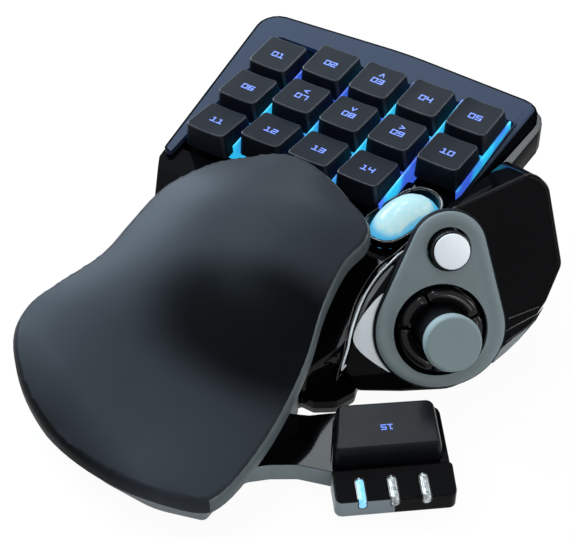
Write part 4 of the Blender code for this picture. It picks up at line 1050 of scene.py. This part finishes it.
# Palm rest: a broad pad moulded in black soft-touch plastic. Its colour is darkened in
# a hollow for the palm and towards its front left edge, a painted shade, and a lighter
# band along its right edge is a painted highlight. It slides on two rails over a
# polished tail whose walls are drawn lighter grey, painted light.
SOFT_BLACK = ((0.0175, 0.0200, 0.0245, 1.0), (0.0200, 0.0230, 0.0280, 1.0))
LACQUER_TINT = (0.74, 0.90, 1.0, 1.0)
HOLLOW_MIDDLE = (0.008, -0.036, 0.034)
HOLLOW_TURN = 9.0
HOLLOW_REACH = (0.051, 0.026, 0.200)
HOLLOW_FADE = (0.0, 0.52)
HOLLOW_PAINTED_SHADE = (0.0004, 0.0005, 0.0009, 1.0)
HOLLOW_POLISH = 0.04
FRONT_DIRECTION = (-0.35, -0.90, 0.0)
FRONT_SHADE_FADE = (0.080, 0.092)
LIP_HIGHLIGHT_GREY = ((0.055, 0.068, 0.074, 1.0), (0.075, 0.091, 0.098, 1.0))
LIP_FROM_Y = -86.0
LIP_FACING = 0.3
TAIL_PAINTED_LIGHT = ((0.13, 0.155, 0.165, 1.0), (0.16, 0.185, 0.195, 1.0))
PALM_POINTS = (
    (-19.0, 24.2), (-31.0, 21.4), (-42.6, 13.1), (-50.6, 1.0), (-54.2, -9.0), (-55.8, -22.0),
    (-57.6, -33.5), (-65.0, -46.4), (-69.8, -57.5), (-66.0, -69.5), (-50.0, -83.0), (-28.0, -92.6),
    (-4.0, -94.8), (18.0, -89.5), (24.6, -82.0), (26.0, -60.0), (24.0, -38.0), (19.0, -20.0),
    (17.0, -5.0), (18.2, 5.5), (13.6, 13.0), (-1.0, 20.0),
)
PALM_RIDGE = (
    (-96, 14.5), (-80, 18.5), (-60, 25.5), (-45, 33.0), (-30, 40.5), (-10, 46.6), (6, 49.2), (26, 49.6),
)
PALM_DROP = ((-96, 1.5), (-80, 3.5), (-60, 5.5), (-30, 7.5), (0, 5.5), (26, 3.0))
PALM_STEPS = 6
PALM_SPAN = (-90.0, 18.0)
PALM_EDGE = 2.0
PALM_EDGE_DROP = 1.1
PALM_NEAR_EDGE = 0.27
PALM_THICKNESS = 3.4
NET_PITCH = 4
NET_ACROSS = (-68, 28)
NET_ALONG = (-92, 24)


def along(table, y):
    """Value read from pairs of place and value, on a smooth cubic through them."""
    y = min(max(y, table[0][0]), table[-1][0])
    index = max(k for k in range(len(table) - 1) if table[k][0] <= y)
    (y0, v0), (y1, v1) = table[index], table[index + 1]
    before, after = table[max(index - 1, 0)], table[min(index + 2, len(table) - 1)]
    first = (v1 - before[1]) / (y1 - before[0])
    last = (after[1] - v0) / (after[0] - y0)
    run = y1 - y0
    t = (y - y0) / run
    return v0 + (v1 - v0) * (3 - 2 * t) * t * t + run * t * (1 - t) * ((1 - t) * first - t * last)


def palm_height(x, y):
    """Height of the skin, domed between its two sides."""
    y_cut = min(max(y, PALM_SPAN[0]), PALM_SPAN[1])
    crossings = []
    for first, second in zip(palm_line, palm_line[1:] + palm_line[:1]):
        if (first.y < y_cut) != (second.y < y_cut):
            crossings.append(first.x + (second.x - first.x) * (y_cut - first.y) / (second.y - first.y))
    left, right = min(crossings), max(crossings)
    share = min(abs(2 * x - left - right) / (right - left), 1.0)
    return along(PALM_RIDGE, y) - along(PALM_DROP, y) * share * share


soft_touch = finish("soft_touch", SOFT_BLACK, 0.38, 0.05, 0.18, 0.004, 0.055)
tree = soft_touch.node_tree
shader = tree.nodes["Principled BSDF"]
shader.inputs["Specular Tint"].default_value = LACQUER_TINT
place = tree.nodes.new("ShaderNodeTexCoord").outputs["Object"]
centred = node_of(tree, "ShaderNodeMapping", Location=HOLLOW_MIDDLE, Scale=HOLLOW_REACH,
                  Rotation=(0.0, 0.0, math.radians(HOLLOW_TURN)))
centred.vector_type = "TEXTURE"
tree.links.new(place, centred.inputs["Vector"])
hollow = tree.nodes.new("ShaderNodeTexGradient")
hollow.gradient_type = "SPHERICAL"
tree.links.new(centred.outputs["Vector"], hollow.inputs["Vector"])
in_hollow = mapped(tree, hollow.outputs["Fac"], *HOLLOW_FADE, smooth=True)
# Painted shade: the colour darkens in the hollow and towards the pad's front left edge.
forward = vector_maths(tree, "DOT_PRODUCT", place, FRONT_DIRECTION)
painted_shade_share = maths(tree, "MAXIMUM", in_hollow, mapped(tree, forward, *FRONT_SHADE_FADE))
plain_colour = shader.inputs["Base Color"].links[0].from_socket
plain_gloss = shader.inputs["Roughness"].links[0].from_socket
tree.links.new(blended(tree, painted_shade_share, plain_colour, HOLLOW_PAINTED_SHADE), shader.inputs["Base Color"])
smoother = maths(tree, "MULTIPLY_ADD", in_hollow, -HOLLOW_POLISH, plain_gloss)
tree.links.new(smoother, shader.inputs["Roughness"])
painted_lip_highlight = finish("painted_lip_highlight", LIP_HIGHLIGHT_GREY, 0.34, 0.06, 0.18, 0.003, 0.2)

palm_line = flowing(PALM_POINTS, PALM_STEPS)
skin = bmesh.new()
face = skin.faces.new([skin.verts.new((point.x, point.y, 0.0)) for point in palm_line])
face.normal_update()
for _ in range(2):
    bmesh.ops.inset_region(skin, faces=[face], thickness=PALM_EDGE / 2, use_boundary=True,
                           use_even_offset=True)
cuts = [((x, 0, 0), (1, 0, 0)) for x in range(*NET_ACROSS, NET_PITCH)]
cuts += [((0, y, 0), (0, 1, 0)) for y in range(*NET_ALONG, NET_PITCH)]
for place, normal in cuts:
    inner = [face for face in skin.faces if not any(vert.is_boundary for vert in face.verts)]
    parts = dict.fromkeys(part for face in inner for part in (*face.verts, *face.edges))
    bmesh.ops.bisect_plane(skin, geom=[*parts, *inner], plane_co=place, plane_no=normal)
ring = {vert for vert in skin.verts if vert.is_boundary}
near_ring = {edge.other_vert(vert) for vert in ring for edge in vert.link_edges} - ring
for vert in skin.verts:
    drop = 0.0
    if vert in ring:
        drop = PALM_EDGE_DROP
    elif vert in near_ring:
        drop = PALM_EDGE_DROP * PALM_NEAR_EDGE
    vert.co.z = palm_height(vert.co.x, vert.co.y) - drop
skin.normal_update()
# Edge faces that face right get the lighter lip finish, a painted highlight.
for face in skin.faces:
    at_edge = any(vert in ring for vert in face.verts)
    if at_edge and face.normal.x > LIP_FACING and face.calc_center_median().y > LIP_FROM_Y:
        face.material_index = 1
lower = skin.verts[:]
bmesh.ops.extrude_face_region(skin, geom=skin.faces[:])
for vert in lower:
    vert.co.z -= PALM_THICKNESS - (PALM_EDGE_DROP if vert.is_boundary else 0.0)
bmesh.ops.recalc_face_normals(skin, faces=skin.faces)
show(skin, "palm_skin", soft_touch, "palm_rest", "palm_pad", smooth=60.0, second=painted_lip_highlight)
# The tail's upright walls are drawn in a lighter grey, painted light.
painted_tail_light = finish("tail_wall_painted_light", TAIL_PAINTED_LIGHT, 0.40, 0.08, 0.3, 0.006, 0.3)
show(walls_of(copied("palm_base")), "palm_tail", gloss_black, "base", "palm_base", second=painted_tail_light)

# Underside and inside: the cover, feet, screws, boards and slide parts keep the
# model's own shapes, in dark plastic, rubber, steel, green lacquer and silicone.
STEEL = ((0.50, 0.51, 0.53, 1.0), (0.58, 0.59, 0.60, 1.0))
RUBBER = ((0.018, 0.018, 0.018, 1.0), (0.028, 0.028, 0.028, 1.0))
BOARD_GREEN = ((0.012, 0.070, 0.030, 1.0), (0.018, 0.095, 0.042, 1.0))
SILICONE = ((0.62, 0.63, 0.60, 1.0), (0.70, 0.71, 0.68, 1.0))

steel = finish("bare_steel", STEEL, 0.32, 0.1, 0.5, 0.004, 0.8)
rubber = finish("foot_rubber", RUBBER, 0.8, 0.1, 0.4, 0.02, 0.3)
board = finish("board_lacquer", BOARD_GREEN, 0.35, 0.1, 0.8, 0.01)
silicone = finish("dome_silicone", SILICONE, 0.55, 0.1, 0.5, 0.01)
INNER_PIECES = (
    (inner_black, ("bottom_cover", "palm_carrier", "wheel_cradle", "wheel_click_switch", "stick_bracket",
                   "thumb_button_switch", "space_key_switch")),
    (board, ("key_circuit_board", "thumb_circuit_board", "status_light_board")),
    (steel, ("slide_rail_left", "slide_rail_right", "wheel_axle", "stick_gimbal")),
    (steel, [f"case_screw_{number}" for number in range(1, 7)]),
    (rubber, [f"rubber_foot_{number}" for number in range(1, 5)]),
    (rubber, ("cable_gland",)),
    (silicone, ("dome_sheet",)),
)
for material, nodes in INNER_PIECES:
    for node in nodes:
        repaint(node, material)
